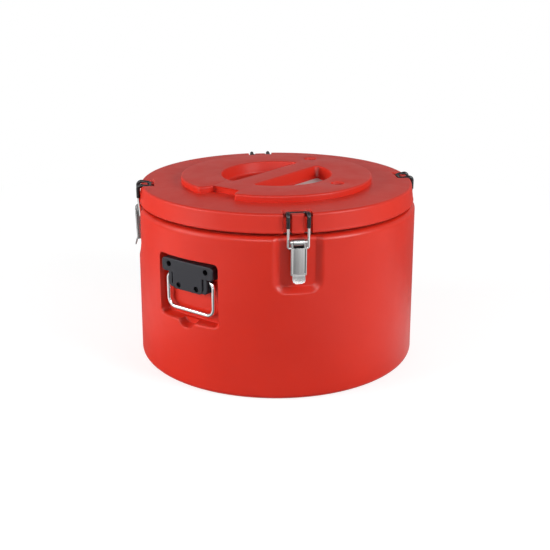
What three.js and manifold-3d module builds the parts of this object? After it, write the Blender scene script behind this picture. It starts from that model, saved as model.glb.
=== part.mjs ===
import * as THREE from 'three';
import { mergeVertices } from 'three/addons/utils/BufferGeometryUtils.js';
import Module from 'manifold-3d';

// Round insulated container: double-walled body and lift-off lid, four draw latches, two bail handles.
// Millimetres, +Z up, origin at the middle of the base. The handles are on the X axis, and the latches
// stand on the diagonals between them.

// Clearances and cuts
const fitGap = 0.3;
const overrun = 2;

// Container body
const bodyTopRadius = 215;
const bodyDraftWidth = 3;
const bodyHeight = 241.5;
const shellWall = 4.5;
const shoulderRadius = 6;
const baseEdgeRadius = 9;
const footRingWidth = 46;
const baseRecessDepth = 4;
const baseRecessSlopeWidth = 7;

// Inner liner
const insulationThickness = 35;
const linerDraftWidth = 4;
const linerWall = 1.2;
const linerFloorHeight = 34;
const linerCornerRadius = 14;
const linerFlangeInset = 16.8;

// Lid
const lidSetbackWidth = 2.6;
const lidDraftWidth = 3.8;
const lidGap = 4;
const lidSideHeight = 27.4;
const lidTopEdgeRadius = 4;
const lidLowerEdgeRadius = 2;
const lidWall = 4;
const skirtWidth = 10.4;
const skirtDepth = 3.5;
const lidOpeningInset = 6;
const discHeight = 9.6;
const discEdgeRadius = 1.6;

// Lid liner, plug and gasket
const lidLinerWall = 1.4;
const plugGap = 4;
const plugDraftWidth = 1.5;
const plugDepth = 9;
const plugCornerRadius = 6;
const gasketInnerInset = 2;
const gasketOuterInset = 7;
const gasketBevelWidth = 2.5;

// Grip recesses in the lid
const gripRadius = 85;
const gripRimWidth = 62.3;
const gripBarWidth = 38;
const gripDepth = 20.4;
const gripCornerRadius = 7;
const gripDraftWidth = 3;
const gripFloorRadius = 5;

// Notch in the edge of the lid's disc
const notchLength = 27.6;
const notchFloorWidth = 42;
const notchMouthWidth = 66;
const notchFloorDrop = 0.4;

// Filling plugs in the lid
const pitRadius = 8.6;
const pitFloorRadius = 6.4;
const pitDepth = 2.6;
const plugHeadRadius = 5;
const plugHeadHeight = 1.4;
const plugStemRadius = 2.8;
const plugStemLength = 5;
const frontPitInset = 33.8;
const sidePitInset = 27.3;
const sidePitAngle = 99;

// Latch pocket in the body
const pocketDepth = 8;
const pocketSideGap = 9.3;
const pocketLowGap = 7;
const pocketFlareWidth = 11;
const pocketCornerRadius = 12;

// Latch strike in the lid
const strikeFloorDepth = 3.5;
const strikeSeatHeight = 0.4;
const strikeSideGap = 1.3;
const strikeDraftWidth = 3.5;
const strikeBackDraftWidth = 2;
const strikeBackGap = 1.2;
const strikeLipHeight = 0.75;
const strikeLipWidth = 3.2;
const strikeRampWidth = 3.6;
const strikeEdgeDrop = 3.2;
const strikeEdgeWidth = 2.8;
const grooveSideGap = 1.25;
const grooveBackGap = 5.5;
const grooveCornerRadius = 2.4;

// Latch base
const latchSideGap = 0.8;
const latchSheetThickness = 1.5;
const latchBaseLength = 52;
const latchFloorGap = 0.8;
const hingeDrop = 7.5;
const hingePinRadius = 1.6;
const hingePinHeadRadius = 2.6;
const hingePinHeadHeight = 0.4;
const barrelRadius = 3.6;
const rivetHeadRadius = 3.4;
const rivetHeadHeight = 1.5;
const rivetShankRadius = 2;
const upperRivetDrop = 18.5;
const lowerRivetRise = 11.9;

// Latch lever
const leverWidth = 22.4;
const leverSheetThickness = 1.2;
const leverFaceRise = 0.9;
const leverTaperDepth = 1.2;
const leverTopGap = 3.4;
const leverLength = 39;
const leverFlangeDepth = 5.6;
const leverHingeWall = 2.3;
const leverPivotWall = 1.4;
const tabWidth = 18;
const tabLength = 11;
const tabKickDepth = 3.4;
const tabCornerRadius = 5;

// Latch bail and its sleeve
const bailWireRadius = 2;
const bailPivotDrop = 9;
const bailPivotInset = 3;
const bailSideGap = 1;
const bailLegRise = 2;
const bailBendRadius = 5;
const bailEndBendRadius = 2.4;
const bailHookLength = 18.4;
const sleeveWall = 0.75;
const sleeveLength = 20;
const wireFitGap = 0.25;

// Handle recess
const recessDepth = 18;
const recessSideGap = 5;
const recessTopDrop = 44.5;
const recessLowGap = 10.5;
const recessCornerRadius = 10;
const recessDraftWidth = 4;
const scoopRadius = 22;
const scoopDepth = 13;
const scoopDraftWidth = 7;

// Handle bracket
const bracketWidth = 96;
const bracketBarHeight = 20;
const bracketBarThickness = 9;
const bracketTopGap = 5.5;
const bracketEdgeWidth = 1.2;
const panelTopInset = 3;
const panelHeight = 41;
const panelThickness = 14.5;
const panelCornerRadius = 8;
const earWidth = 10.3;
const earThickness = 7.5;
const earSideGap = 1.4;
const earLowRise = 3;
const earCornerRadius = 5;
const upperScrewInset = 13.5;
const upperScrewDrop = 8.5;
const lowerScrewInset = 11.5;
const lowerScrewRise = 6.6;
const screwHeadRadius = 3.8;
const screwHeadHeight = 2.4;
const screwShankRadius = 1.6;
const screwSinkDepth = 1.4;

// Handle bail
const handleWireRadius = 2.8;
const handleWidth = 91;
const handleDrop = 50;
const handlePivotGap = 4.2;
const handlePivotDepth = 7;
const handleEndLength = 3.5;
const handleTurnGap = 1.4;
const handleTopBend = 9;
const handleLowerBend = 13;

// Places around the axis, in degrees from the front towards +X
const latchAngles = { front_left: -45, front_right: 45, rear_right: 135, rear_left: -135 };
const handleAngles = { left: -90, right: 90 };
const quarterTurn = 90;
const halfTurn = 180;

// Facets
const roundFacets = 48;
const arcSteps = 3;
const cornerSteps = 2;
const scoopCornerSteps = 4;
const gripArcSteps = 12;
const bendSteps = 2;
const handleBendSteps = 3;
const wireFacets = 8;
const handleWireFacets = 10;
const smallFacets = 10;
const pitFacets = 20;
const driveFacets = 6;

const degree = Math.PI / halfTurn;
const shellColour = 0xd23428;

const materials = {
  shell: { color: shellColour, roughness: 0.48, metalness: 0 },
  foam: { color: 0xe9dfc0, roughness: 0.95, metalness: 0 },
  liner: { color: 0xc4c6c8, roughness: 0.3, metalness: 1 },
  gasket: { color: 0xd9d6cf, roughness: 0.8, metalness: 0 },
  steel: { color: 0xb9b8b4, roughness: 0.35, metalness: 1 },
  chrome: { color: 0xdddddf, roughness: 0.12, metalness: 1 },
  sleeve: { color: 0x18181a, roughness: 0.7, metalness: 0 },
  bracket: { color: 0x2a2c31, roughness: 0.55, metalness: 0 },
  screw: { color: 0x151517, roughness: 0.5, metalness: 1 },
};

const wasm = await Module();
wasm.setup();

// Turns a closed geometry into a solid with its faces pointing out.
function toSolid(geometry) {
  const bare = new THREE.BufferGeometry();
  bare.setAttribute('position', geometry.getAttribute('position').clone());
  if (geometry.index) bare.setIndex(geometry.index.clone());
  const merged = mergeVertices(bare);
  const positions = merged.getAttribute('position').array;
  const corners = [];
  let volume = 0;
  const a = new THREE.Vector3();
  const b = new THREE.Vector3();
  const c = new THREE.Vector3();
  for (let i = 0; i < merged.index.count; i += 3) {
    const face = [merged.index.getX(i), merged.index.getX(i + 1), merged.index.getX(i + 2)];
    if (face[0] === face[1] || face[1] === face[2] || face[2] === face[0]) continue;
    corners.push(...face);
    a.fromArray(positions, face[0] * 3);
    b.fromArray(positions, face[1] * 3);
    c.fromArray(positions, face[2] * 3);
    volume += a.dot(b.cross(c));
  }
  if (volume < 0) {
    for (let i = 0; i < corners.length; i += 3) {
      [corners[i + 1], corners[i + 2]] = [corners[i + 2], corners[i + 1]];
    }
  }
  const mesh = new wasm.Mesh({
    numProp: 3,
    vertProperties: new Float32Array(positions),
    triVerts: new Uint32Array(corners),
  });
  return new wasm.Manifold(mesh);
}

// Turns a solid back into a geometry.
function toGeometry(solid) {
  const mesh = solid.getMesh();
  const geometry = new THREE.BufferGeometry();
  geometry.setAttribute('position', new THREE.BufferAttribute(new Float32Array(mesh.vertProperties), 3));
  geometry.setIndex(new THREE.BufferAttribute(new Uint32Array(mesh.triVerts), 1));
  geometry.computeVertexNormals();
  return geometry;
}

// The same geometry turned about the container's axis, as a solid.
function turnedSolid(geometry, angle) {
  return toSolid(geometry.clone().rotateZ(angle * degree));
}

function subtractAll(solid, cutters) {
  return cutters.reduce((rest, cutter) => rest.subtract(cutter), solid);
}

// Points of an arc in a profile, from one angle to another, in degrees.
function arcPoints(x, y, radius, from, to, steps = arcSteps) {
  return Array.from({ length: steps + 1 }, (_, i) => {
    const angle = (from + ((to - from) * i) / steps) * degree;
    return new THREE.Vector2(x + radius * Math.cos(angle), y + radius * Math.sin(angle));
  });
}

// A body of revolution about the container's axis, from a profile of radius and height.
function revolve(profile) {
  return new THREE.LatheGeometry(profile, roundFacets).rotateX(quarterTurn * degree);
}

// A ring of revolution, whose profile closes on itself.
function revolveRing(profile) {
  return revolve([...profile, profile[0].clone()]);
}

// A closed skin over rings of points, each ring convex and of the same count.
function loft(rings) {
  const count = rings[0].length;
  const points = rings.flat();
  const faces = [];
  for (let k = 0; k + 1 < rings.length; k += 1) {
    for (let i = 0; i < count; i += 1) {
      const j = (i + 1) % count;
      const low = k * count;
      const high = low + count;
      faces.push(low + i, low + j, high + j, low + i, high + j, high + i);
    }
  }
  const addCap = (ring, start, flipped) => {
    const middle = ring.reduce((sum, point) => sum.add(point), new THREE.Vector3()).divideScalar(count);
    const hub = points.length;
    points.push(middle);
    for (let i = 0; i < count; i += 1) {
      const j = (i + 1) % count;
      faces.push(hub, start + (flipped ? j : i), start + (flipped ? i : j));
    }
  };
  addCap(rings[0], 0, true);
  addCap(rings[rings.length - 1], (rings.length - 1) * count, false);
  const geometry = new THREE.BufferGeometry();
  geometry.setAttribute('position', new THREE.Float32BufferAttribute(points.flatMap((p) => p.toArray()), 3));
  geometry.setIndex(faces);
  return geometry;
}

// The corners of a rectangle with round corners, anticlockwise.
function roundedRectangle(left, low, width, height, radius, steps = cornerSteps) {
  const round = Math.min(radius, width / 2, height / 2);
  const corner = (x, y, from) => arcPoints(x, y, round, from, from + quarterTurn, steps);
  return [
    ...corner(left + width - round, low + round, -quarterTurn),
    ...corner(left + width - round, low + height - round, 0),
    ...corner(left + round, low + height - round, quarterTurn),
    ...corner(left + round, low + round, halfTurn),
  ];
}

// A point of a piece that faces the front: across, outward from the axis, and up.
function place(across, outward, up) {
  return new THREE.Vector3(across, -outward, up);
}

// A profile of outward distance and height, extruded to a width across the middle.
function acrossSolid(profile, width) {
  const geometry = new THREE.ExtrudeGeometry(new THREE.Shape(profile), { depth: width, bevelEnabled: false });
  geometry.translate(0, 0, -width / 2);
  const basis = new THREE.Matrix4().makeBasis(
    new THREE.Vector3(0, -1, 0),
    new THREE.Vector3(0, 0, 1),
    new THREE.Vector3(-1, 0, 0),
  );
  return geometry.applyMatrix4(basis);
}

// A front outline of across and height, extruded outward from one distance to another.
function outwardSolid(outline, from, to, edge = 0) {
  const geometry = new THREE.ExtrudeGeometry(new THREE.Shape(outline), {
    depth: to - from - 2 * edge,
    bevelEnabled: edge > 0,
    bevelThickness: edge,
    bevelSize: edge,
    bevelOffset: -edge,
    bevelSegments: 1,
  });
  geometry.translate(0, 0, from + edge);
  const basis = new THREE.Matrix4().makeBasis(
    new THREE.Vector3(1, 0, 0),
    new THREE.Vector3(0, 0, 1),
    new THREE.Vector3(0, -1, 0),
  );
  return geometry.applyMatrix4(basis);
}

// A cylinder that points outward, from one distance to another.
function outwardCylinder(across, up, radius, from, to, facets = smallFacets) {
  const geometry = new THREE.CylinderGeometry(radius, radius, to - from, facets);
  const middle = place(across, (from + to) / 2, up);
  return geometry.translate(middle.x, middle.y, middle.z);
}

// A cylinder that lies across, from one side to the other.
function acrossCylinder(outward, up, radius, from, to, facets = smallFacets) {
  const geometry = new THREE.CylinderGeometry(radius, radius, to - from, facets);
  const middle = place((from + to) / 2, outward, up);
  return geometry.rotateZ(quarterTurn * degree).translate(middle.x, middle.y, middle.z);
}

// A path through chosen stations: one step of a tube runs from each station to the next.
class StationPath extends THREE.Curve {
  constructor(stations) {
    super();
    this.stations = stations;
  }

  getPoint(share, target = new THREE.Vector3()) {
    const last = this.stations.length - 1;
    const index = Math.min(Math.round(share * last), last);
    return target.copy(this.stations[index]);
  }

  getPointAt(share, target) {
    return this.getPoint(share, target);
  }

  getTangentAt(share, target = new THREE.Vector3()) {
    const last = this.stations.length - 1;
    const index = Math.min(Math.round(share * last), last);
    const here = this.stations[index];
    const before = this.stations[Math.max(index - 1, 0)];
    const after = this.stations[Math.min(index + 1, last)];
    const into = here.clone().sub(before).normalize();
    const out = after.clone().sub(here).normalize();
    return target.copy(into).add(out).normalize();
  }
}

// Stations along straight runs between corners, with each corner rounded to its own radius.
function roundedPath(corners, radii, steps = bendSteps) {
  const stations = [corners[0]];
  for (let i = 1; i + 1 < corners.length; i += 1) {
    const back = corners[i - 1].clone().sub(corners[i]).normalize();
    const ahead = corners[i + 1].clone().sub(corners[i]).normalize();
    const half = back.angleTo(ahead) / 2;
    const reach = radii[i] / Math.tan(half);
    const middle = back.clone().add(ahead).normalize();
    const centre = middle.multiplyScalar(radii[i] / Math.sin(half)).add(corners[i]);
    const start = corners[i].clone().addScaledVector(back, reach).sub(centre);
    const end = corners[i].clone().addScaledVector(ahead, reach).sub(centre);
    const axis = start.clone().cross(end).normalize();
    const sweep = Math.PI - 2 * half;
    for (let k = 0; k <= steps; k += 1) {
      stations.push(start.clone().applyAxisAngle(axis, (sweep * k) / steps).add(centre));
    }
  }
  stations.push(corners[corners.length - 1]);
  return stations;
}

// A round wire, or with a bore a round sleeve, along a path of stations.
function wire(stations, radius, facets, bore = 0) {
  const circle = (r) => Array.from({ length: facets }, (_, i) => {
    const angle = (2 * Math.PI * i) / facets;
    return new THREE.Vector2(r * Math.cos(angle), r * Math.sin(angle));
  });
  const section = new THREE.Shape(circle(radius));
  if (bore > 0) section.holes.push(new THREE.Path(circle(bore)));
  return new THREE.ExtrudeGeometry(section, {
    steps: stations.length - 1,
    extrudePath: new StationPath(stations),
  });
}

// Radii that follow from the sizes above
const bodyBaseRadius = bodyTopRadius + bodyDraftWidth;
const mouthRadius = bodyTopRadius - insulationThickness;
const linerBaseRadius = mouthRadius - linerDraftWidth;
const linerOuterRadius = mouthRadius + linerWall;
const lidLowerRadius = bodyTopRadius - lidSetbackWidth;
const lidUpperRadius = lidLowerRadius - lidDraftWidth;
const lidOpeningRadius = mouthRadius + lidOpeningInset;
const plugRadius = mouthRadius - plugGap;
const discRadius = gripRadius + gripRimWidth;
const recessFloorRadius = bodyTopRadius - recessDepth;

// Heights that follow from the sizes above
const rimHeight = bodyHeight + fitGap + linerWall;
const lidLowEdge = bodyHeight + lidGap;
const lidTop = lidLowEdge + lidSideHeight;
const discTop = lidTop + discHeight;
const lidUnderside = lidLowEdge + skirtDepth;
const brimTop = lidUnderside - fitGap;
const brimUnderside = brimTop - lidLinerWall;
const gripFloor = discTop - gripDepth;

// The radius of the body's side at a height, from the shoulder down to the base.
function bodySide(height) {
  return bodyBaseRadius + ((bodyTopRadius - bodyBaseRadius) * height) / bodyHeight;
}

// The radius of the lid's side at a height.
function lidSide(height) {
  return lidLowerRadius + ((lidUpperRadius - lidLowerRadius) * (height - lidLowEdge)) / lidSideHeight;
}

// Rings of a cutter: all of them for the visible face, every other one for the face behind it.
function ringSteps(shares, grow) {
  const steps = [...shares.keys()];
  return grow > 0 ? steps.filter((step) => step % 2 === 0) : steps;
}

// A dish cut into the body's side: its outline at each depth, from the floor to past the side.
function dish(rectangleAt, steps) {
  return loft(steps.map((step) => {
    const box = rectangleAt(step);
    return roundedRectangle(box.left, box.low, box.width, box.height, box.radius, box.cornerSteps)
      .map((point) => place(point.x, box.outward, point.y));
  }));
}

// Latch sizes that follow from the lever and the wire
const latchBaseWidth = leverWidth - 2 * leverSheetThickness - 2 * latchSideGap;
const leverHingeRadius = hingePinRadius + fitGap + leverHingeWall;
const leverPivotRadius = bailWireRadius + fitGap + leverPivotWall;
const hingeHeight = latchFloorGap + leverPivotRadius + bailPivotInset;
const leverStandOff = hingeHeight + leverHingeRadius + leverFaceRise;
const latchWallHeight = leverStandOff - leverTaperDepth - leverSheetThickness - 2 * fitGap;
const leverTopDrop = hingeDrop + barrelRadius + leverTopGap;
const bailWidth = leverWidth + 2 * bailSideGap + 4 * bailWireRadius;
const sleeveRadius = bailWireRadius + wireFitGap + sleeveWall;

const pocketFloor = bodyTopRadius - pocketDepth;
const pocketFloorWidth = bailWidth + 2 * pocketSideGap;
const pocketFloorLength = leverTopDrop + leverLength + tabLength + pocketLowGap;
const pocketRiseShares = [0, 0.12, 0.42, 0.95, 2.2];
const pocketSpreadShares = [0, 0.33, 0.68, 1, 1.4];

// Latch pocket: a flat floor, wide rounded sides and bottom, open through the shoulder.
function latchPocketCutter(grow) {
  return dish((step) => {
    const spread = pocketFlareWidth * pocketSpreadShares[step] + grow;
    const low = bodyHeight - pocketFloorLength - spread;
    return {
      left: -pocketFloorWidth / 2 - spread,
      low,
      width: pocketFloorWidth + 2 * spread,
      height: bodyHeight + overrun + pocketCornerRadius + pocketFlareWidth + grow - low,
      radius: pocketCornerRadius + spread / 2,
      outward: pocketFloor - grow + pocketDepth * pocketRiseShares[step],
    };
  }, ringSteps(pocketRiseShares, grow));
}

// Handle sizes that follow from the bracket and the bail
const legSpan = handleWidth - 2 * handleWireRadius;
const earSpan = legSpan - 2 * handleWireRadius - 2 * earSideGap;
const panelWidth = earSpan - 2 * earWidth;
const recessWidth = Math.max(bracketWidth, handleWidth) + 2 * recessSideGap;
const hangingHeight = bracketBarHeight + handlePivotGap + handleDrop + handleWireRadius;
const recessHeight = bracketTopGap + hangingHeight + recessLowGap;
const recessTop = bodyHeight - recessTopDrop;
const recessLow = recessTop - recessHeight;
const recessReach = bodyBaseRadius - recessFloorRadius;
const recessRiseShares = [0, 0.08, 1.2];
const recessSpreadShares = [-0.25, 0.2, 1.5];

// Handle recess: a flat floor and steep walls with a little draft.
function recessCutter(grow) {
  return dish((step) => {
    const spread = recessDraftWidth * recessSpreadShares[step] + grow;
    return {
      left: -recessWidth / 2 - spread,
      low: recessLow - spread,
      width: recessWidth + 2 * spread,
      height: recessHeight + 2 * spread,
      radius: recessCornerRadius + spread / 2,
      outward: recessFloorRadius - grow + recessReach * recessRiseShares[step],
    };
  }, ringSteps(recessRiseShares, grow));
}

const scoopRiseShares = [0, 0.18, 1.6];
const scoopSpreadShares = [-1, -0.4, 0.5];

// Finger scoop in the recess's lower wall, half a round dish.
function scoopCutter(grow) {
  return dish((step) => {
    const radius = scoopRadius + scoopDraftWidth * scoopSpreadShares[step] + grow;
    return {
      left: -radius,
      low: recessLow + scoopDraftWidth - radius,
      width: 2 * radius,
      height: 2 * radius,
      radius,
      outward: bodyTopRadius - scoopDepth - grow + scoopDepth * scoopRiseShares[step],
      cornerSteps: grow > 0 ? cornerSteps : scoopCornerSteps,
    };
  }, ringSteps(scoopRiseShares, grow));
}

// Everything that is cut into the body's side, grown by a wall for the space behind it.
function bodyCutters(grow) {
  const pockets = Object.values(latchAngles).map((angle) => turnedSolid(latchPocketCutter(grow), angle));
  const recesses = Object.values(handleAngles).flatMap((angle) => [
    turnedSolid(recessCutter(grow), angle),
    turnedSolid(scoopCutter(grow), angle),
  ]);
  return [...pockets, ...recesses];
}

const bracketBack = recessFloorRadius + fitGap;
const bracketTop = recessTop - bracketTopGap;
const panelTop = bracketTop - panelTopInset;
const panelLow = panelTop - panelHeight;

// Screw places of a bracket: across, up, and how far out its face is.
const bracketScrews = [-1, 1].flatMap((side) => [
  {
    across: side * (bracketWidth / 2 - upperScrewInset),
    up: bracketTop - upperScrewDrop,
    face: bracketBack + bracketBarThickness,
    name: side < 0 ? 'upper_left' : 'upper_right',
  },
  {
    across: side * (panelWidth / 2 - lowerScrewInset),
    up: panelLow + lowerScrewRise,
    face: bracketBack + panelThickness,
    name: side < 0 ? 'lower_left' : 'lower_right',
  },
]);

const hingeUp = bodyHeight - hingeDrop;
const latchBaseLow = hingeUp + barrelRadius - latchBaseLength;
const latchRivets = [
  { up: hingeUp - upperRivetDrop, name: 'upper' },
  { up: latchBaseLow + lowerRivetRise, name: 'lower' },
];

// Holes through the shell's wall for the screws and rivets.
function fastenerHoles() {
  const screwHoles = bracketScrews.map((screw) => outwardCylinder(
    screw.across, screw.up, screwShankRadius + fitGap,
    recessFloorRadius - shellWall - overrun, recessFloorRadius + overrun,
  ));
  const rivetHoles = latchRivets.map((rivet) => outwardCylinder(
    0, rivet.up, rivetShankRadius + fitGap, pocketFloor - shellWall - overrun, pocketFloor + overrun,
  ));
  return [
    ...Object.values(handleAngles).flatMap((angle) => screwHoles.map((hole) => turnedSolid(hole, angle))),
    ...Object.values(latchAngles).flatMap((angle) => rivetHoles.map((hole) => turnedSolid(hole, angle))),
  ];
}

// Profile of the body's outside: recessed base, foot ring, side, shoulder and rim.
function bodyOutside() {
  const footInner = bodyBaseRadius - baseEdgeRadius - footRingWidth;
  return [
    new THREE.Vector2(0, baseRecessDepth),
    new THREE.Vector2(footInner - baseRecessSlopeWidth, baseRecessDepth),
    new THREE.Vector2(footInner, 0),
    ...arcPoints(bodyBaseRadius - baseEdgeRadius, baseEdgeRadius, baseEdgeRadius, -quarterTurn, 0),
    ...arcPoints(
      bodySide(bodyHeight - shoulderRadius) - shoulderRadius,
      bodyHeight - shoulderRadius,
      shoulderRadius,
      0,
      quarterTurn,
    ),
  ];
}

// Profile of the space between the shell and the liner, inset by a gap.
function bodyCavity(inset) {
  const wall = shellWall + inset;
  const top = bodyHeight - wall;
  return [
    new THREE.Vector2(0, baseRecessDepth + wall),
    new THREE.Vector2(bodyBaseRadius - baseEdgeRadius - footRingWidth, baseRecessDepth + wall),
    new THREE.Vector2(bodyBaseRadius - wall - baseEdgeRadius, wall),
    new THREE.Vector2(bodyBaseRadius - wall, wall + baseEdgeRadius),
    new THREE.Vector2(bodySide(top) - wall, top),
  ];
}

function outerShell() {
  const outside = toSolid(revolve([
    ...bodyOutside(),
    new THREE.Vector2(0, bodyHeight),
  ]));
  const cavity = toSolid(revolve([...bodyCavity(0), new THREE.Vector2(0, bodyHeight - shellWall)]));
  const mouth = toSolid(revolve([
    new THREE.Vector2(0, bodyHeight - shellWall - overrun),
    new THREE.Vector2(linerOuterRadius + fitGap, bodyHeight - shellWall - overrun),
    new THREE.Vector2(linerOuterRadius + fitGap, bodyHeight + overrun),
    new THREE.Vector2(0, bodyHeight + overrun),
  ]));
  const hollow = subtractAll(cavity, bodyCutters(shellWall)).add(mouth);
  return subtractAll(outside, [...bodyCutters(0), hollow, ...fastenerHoles()]);
}

// Profile of the liner's outside, wrapped by a wall round the inside.
function linerSide(wall) {
  const low = linerFloorHeight - wall;
  const round = linerCornerRadius + wall;
  return [
    new THREE.Vector2(0, low),
    ...arcPoints(linerBaseRadius + wall - round, low + round, round, -quarterTurn, 0, cornerSteps),
  ];
}

function insulationFoam() {
  const block = toSolid(revolve([
    ...bodyCavity(fitGap),
    new THREE.Vector2(0, bodyHeight - shellWall - fitGap),
  ]));
  const linerSpace = toSolid(revolve([
    ...linerSide(linerWall + fitGap),
    new THREE.Vector2(linerOuterRadius + fitGap, bodyHeight),
    new THREE.Vector2(0, bodyHeight),
  ]));
  return subtractAll(block, [...bodyCutters(shellWall + fitGap), linerSpace]);
}

function innerLiner() {
  const flangeRadius = bodyTopRadius - linerFlangeInset;
  return toSolid(revolve([
    ...linerSide(linerWall),
    new THREE.Vector2(linerOuterRadius, rimHeight - linerWall),
    new THREE.Vector2(flangeRadius, rimHeight - linerWall),
    new THREE.Vector2(flangeRadius, rimHeight),
    new THREE.Vector2(mouthRadius, rimHeight),
    ...linerSide(0).reverse(),
  ]));
}

// Outline of a grip recess: a circle's segment beside the bar, with round corners.
function gripOutline(inset) {
  const radius = gripRadius - inset;
  const chord = gripBarWidth / 2 + inset;
  const round = gripCornerRadius;
  const centreUp = chord + round;
  const centreOut = Math.sqrt((radius - round) ** 2 - centreUp ** 2);
  const tangent = Math.atan2(centreUp, centreOut) / degree;
  return [
    ...arcPoints(centreOut, centreUp, round, -quarterTurn, tangent, cornerSteps),
    ...arcPoints(0, 0, radius, tangent, halfTurn - tangent, gripArcSteps).slice(1, -1),
    ...arcPoints(-centreOut, centreUp, round, halfTurn - tangent, halfTurn + quarterTurn, cornerSteps),
  ];
}

const gripRiseShares = [0, 0.07, 0.24, 1.3];
const gripFilletShares = [1, 0.3, 0, 0];

// Grip recess in the lid's disc, on the rear side of the bar.
function gripCutter(grow) {
  const ring = (rise, fillet) => gripOutline(fillet + gripDraftWidth * (1 - rise) - grow)
    .map((point) => new THREE.Vector3(point.x, point.y, gripFloor - grow + gripDepth * rise));
  const top = gripRiseShares.length - 1;
  if (grow > 0) return loft([ring(0, 0), ring(gripRiseShares[top], 0)]);
  return loft(gripRiseShares.map((rise, step) => ring(rise, gripFloorRadius * gripFilletShares[step])));
}

const notchBendShare = 0.55;
const notchFloorDistance = discRadius - notchLength;

// Notch in the disc's edge over the left handle, with S-shaped sides.
function notchCutter(grow) {
  const near = notchFloorDistance - grow;
  const far = discRadius + overrun + grow;
  const floorHalf = notchFloorWidth / 2 + grow;
  const mouthHalf = notchMouthWidth / 2 + grow;
  const bend = notchLength * notchBendShare;
  const shape = new THREE.Shape();
  shape.moveTo(-near, -floorHalf);
  shape.bezierCurveTo(-near - bend, -floorHalf, -near - bend, -mouthHalf, -far, -mouthHalf);
  shape.lineTo(-far, mouthHalf);
  shape.bezierCurveTo(-near - bend, mouthHalf, -near - bend, floorHalf, -near, floorHalf);
  const geometry = new THREE.ExtrudeGeometry(shape, {
    depth: discHeight + overrun + notchFloorDrop + grow,
    curveSegments: grow > 0 ? arcSteps : 2 * arcSteps,
    bevelEnabled: false,
  });
  return geometry.translate(0, 0, lidTop - notchFloorDrop - grow);
}

// Places of the two filling plugs, in the plane of the lid.
const sidePitDistance = discRadius - sidePitInset;
const pitPlaces = {
  front: new THREE.Vector2(0, frontPitInset - discRadius),
  side: new THREE.Vector2(
    sidePitDistance * Math.sin(sidePitAngle * degree),
    -sidePitDistance * Math.cos(sidePitAngle * degree),
  ),
};

// A dimple with sloping sides, and with a stem hole where it isn't grown.
function pitCutter(at, grow) {
  const top = discTop + overrun;
  const slope = ((pitRadius - pitFloorRadius) * overrun) / pitDepth;
  const dimple = new THREE.CylinderGeometry(
    pitRadius + slope + grow,
    pitFloorRadius + grow,
    pitDepth + overrun + grow,
    grow > 0 ? smallFacets : pitFacets,
  ).rotateX(quarterTurn * degree).translate(at.x, at.y, top - (pitDepth + overrun + grow) / 2);
  return toSolid(dimple);
}

// Room for a plug's stem, downward from a height.
function stemHole(at, top, height) {
  const radius = plugStemRadius + fitGap;
  const hole = new THREE.CylinderGeometry(radius, radius, height, smallFacets);
  return toSolid(hole.rotateX(quarterTurn * degree).translate(at.x, at.y, top - height / 2));
}

const strikeFloor = lidTop - strikeFloorDepth;
const legOutward = pocketFloor + hingeHeight - bailPivotInset + bailLegRise;
const barOutward = legOutward - bailHookLength;
const strikeSeat = strikeFloor + strikeSeatHeight;
const barHeight = strikeSeat + fitGap + sleeveRadius;
const strikeBack = barOutward - sleeveRadius - strikeBackGap;
const legAcross = bailWidth / 2 - bailWireRadius;
const strikeFloorWidth = 2 * (legAcross + sleeveRadius + strikeSideGap);
const grooveWidth = 2 * (sleeveRadius + grooveSideGap);
const grooveFloor = legOutward - sleeveRadius - grooveBackGap;

// Pocket in the lid's top edge for a bail's cross bar.
function strikePocket(grow) {
  const far = lidLowerRadius + overrun + grow;
  const backAt = strikeBack - grow;
  const ring = (spread, up) => {
    const half = strikeFloorWidth / 2 + spread * strikeDraftWidth + grow;
    const back = backAt - spread * strikeBackDraftWidth;
    return [place(-half, far, up), place(-half, back, up), place(half, back, up), place(half, far, up)];
  };
  return loft([
    ring(0, strikeFloor - grow),
    ring(1, lidTop),
    ring(1 + overrun / strikeFloorDepth, lidTop + overrun),
  ]);
}

// Seat and low lip between the bail's legs, which hold the cross bar in its pocket.
function strikeLip() {
  const crest = strikeSeat + strikeLipHeight;
  const edge = lidSide(crest);
  const shoulder = edge - strikeEdgeWidth;
  const rampEnd = shoulder - strikeLipWidth;
  return acrossSolid([
    new THREE.Vector2(strikeBack - overrun, strikeFloor - lidWall / 2),
    new THREE.Vector2(strikeBack - overrun, strikeSeat),
    new THREE.Vector2(rampEnd - strikeRampWidth, strikeSeat),
    new THREE.Vector2(rampEnd, crest),
    new THREE.Vector2(shoulder, crest),
    new THREE.Vector2(edge, crest - strikeEdgeDrop / 2),
    new THREE.Vector2(lidSide(crest - strikeEdgeDrop), crest - strikeEdgeDrop),
    new THREE.Vector2(shoulder, crest - strikeEdgeDrop),
  ], 2 * legAcross - grooveWidth);
}

// Grooves down the lid's side, one for each leg of a bail.
function strikeGroove(side, grow) {
  const width = grooveWidth + 2 * grow;
  const depth = lidLowerRadius + overrun + grooveWidth - grooveFloor;
  const outline = roundedRectangle(
    side * legAcross - width / 2, -grooveFloor - depth, width, depth + grow, grooveCornerRadius + grow,
  );
  const shape = new THREE.Shape(outline);
  const height = lidSideHeight + 2 * overrun;
  const geometry = new THREE.ExtrudeGeometry(shape, { depth: height, bevelEnabled: false });
  return geometry.translate(0, 0, lidLowEdge - overrun);
}

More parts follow.
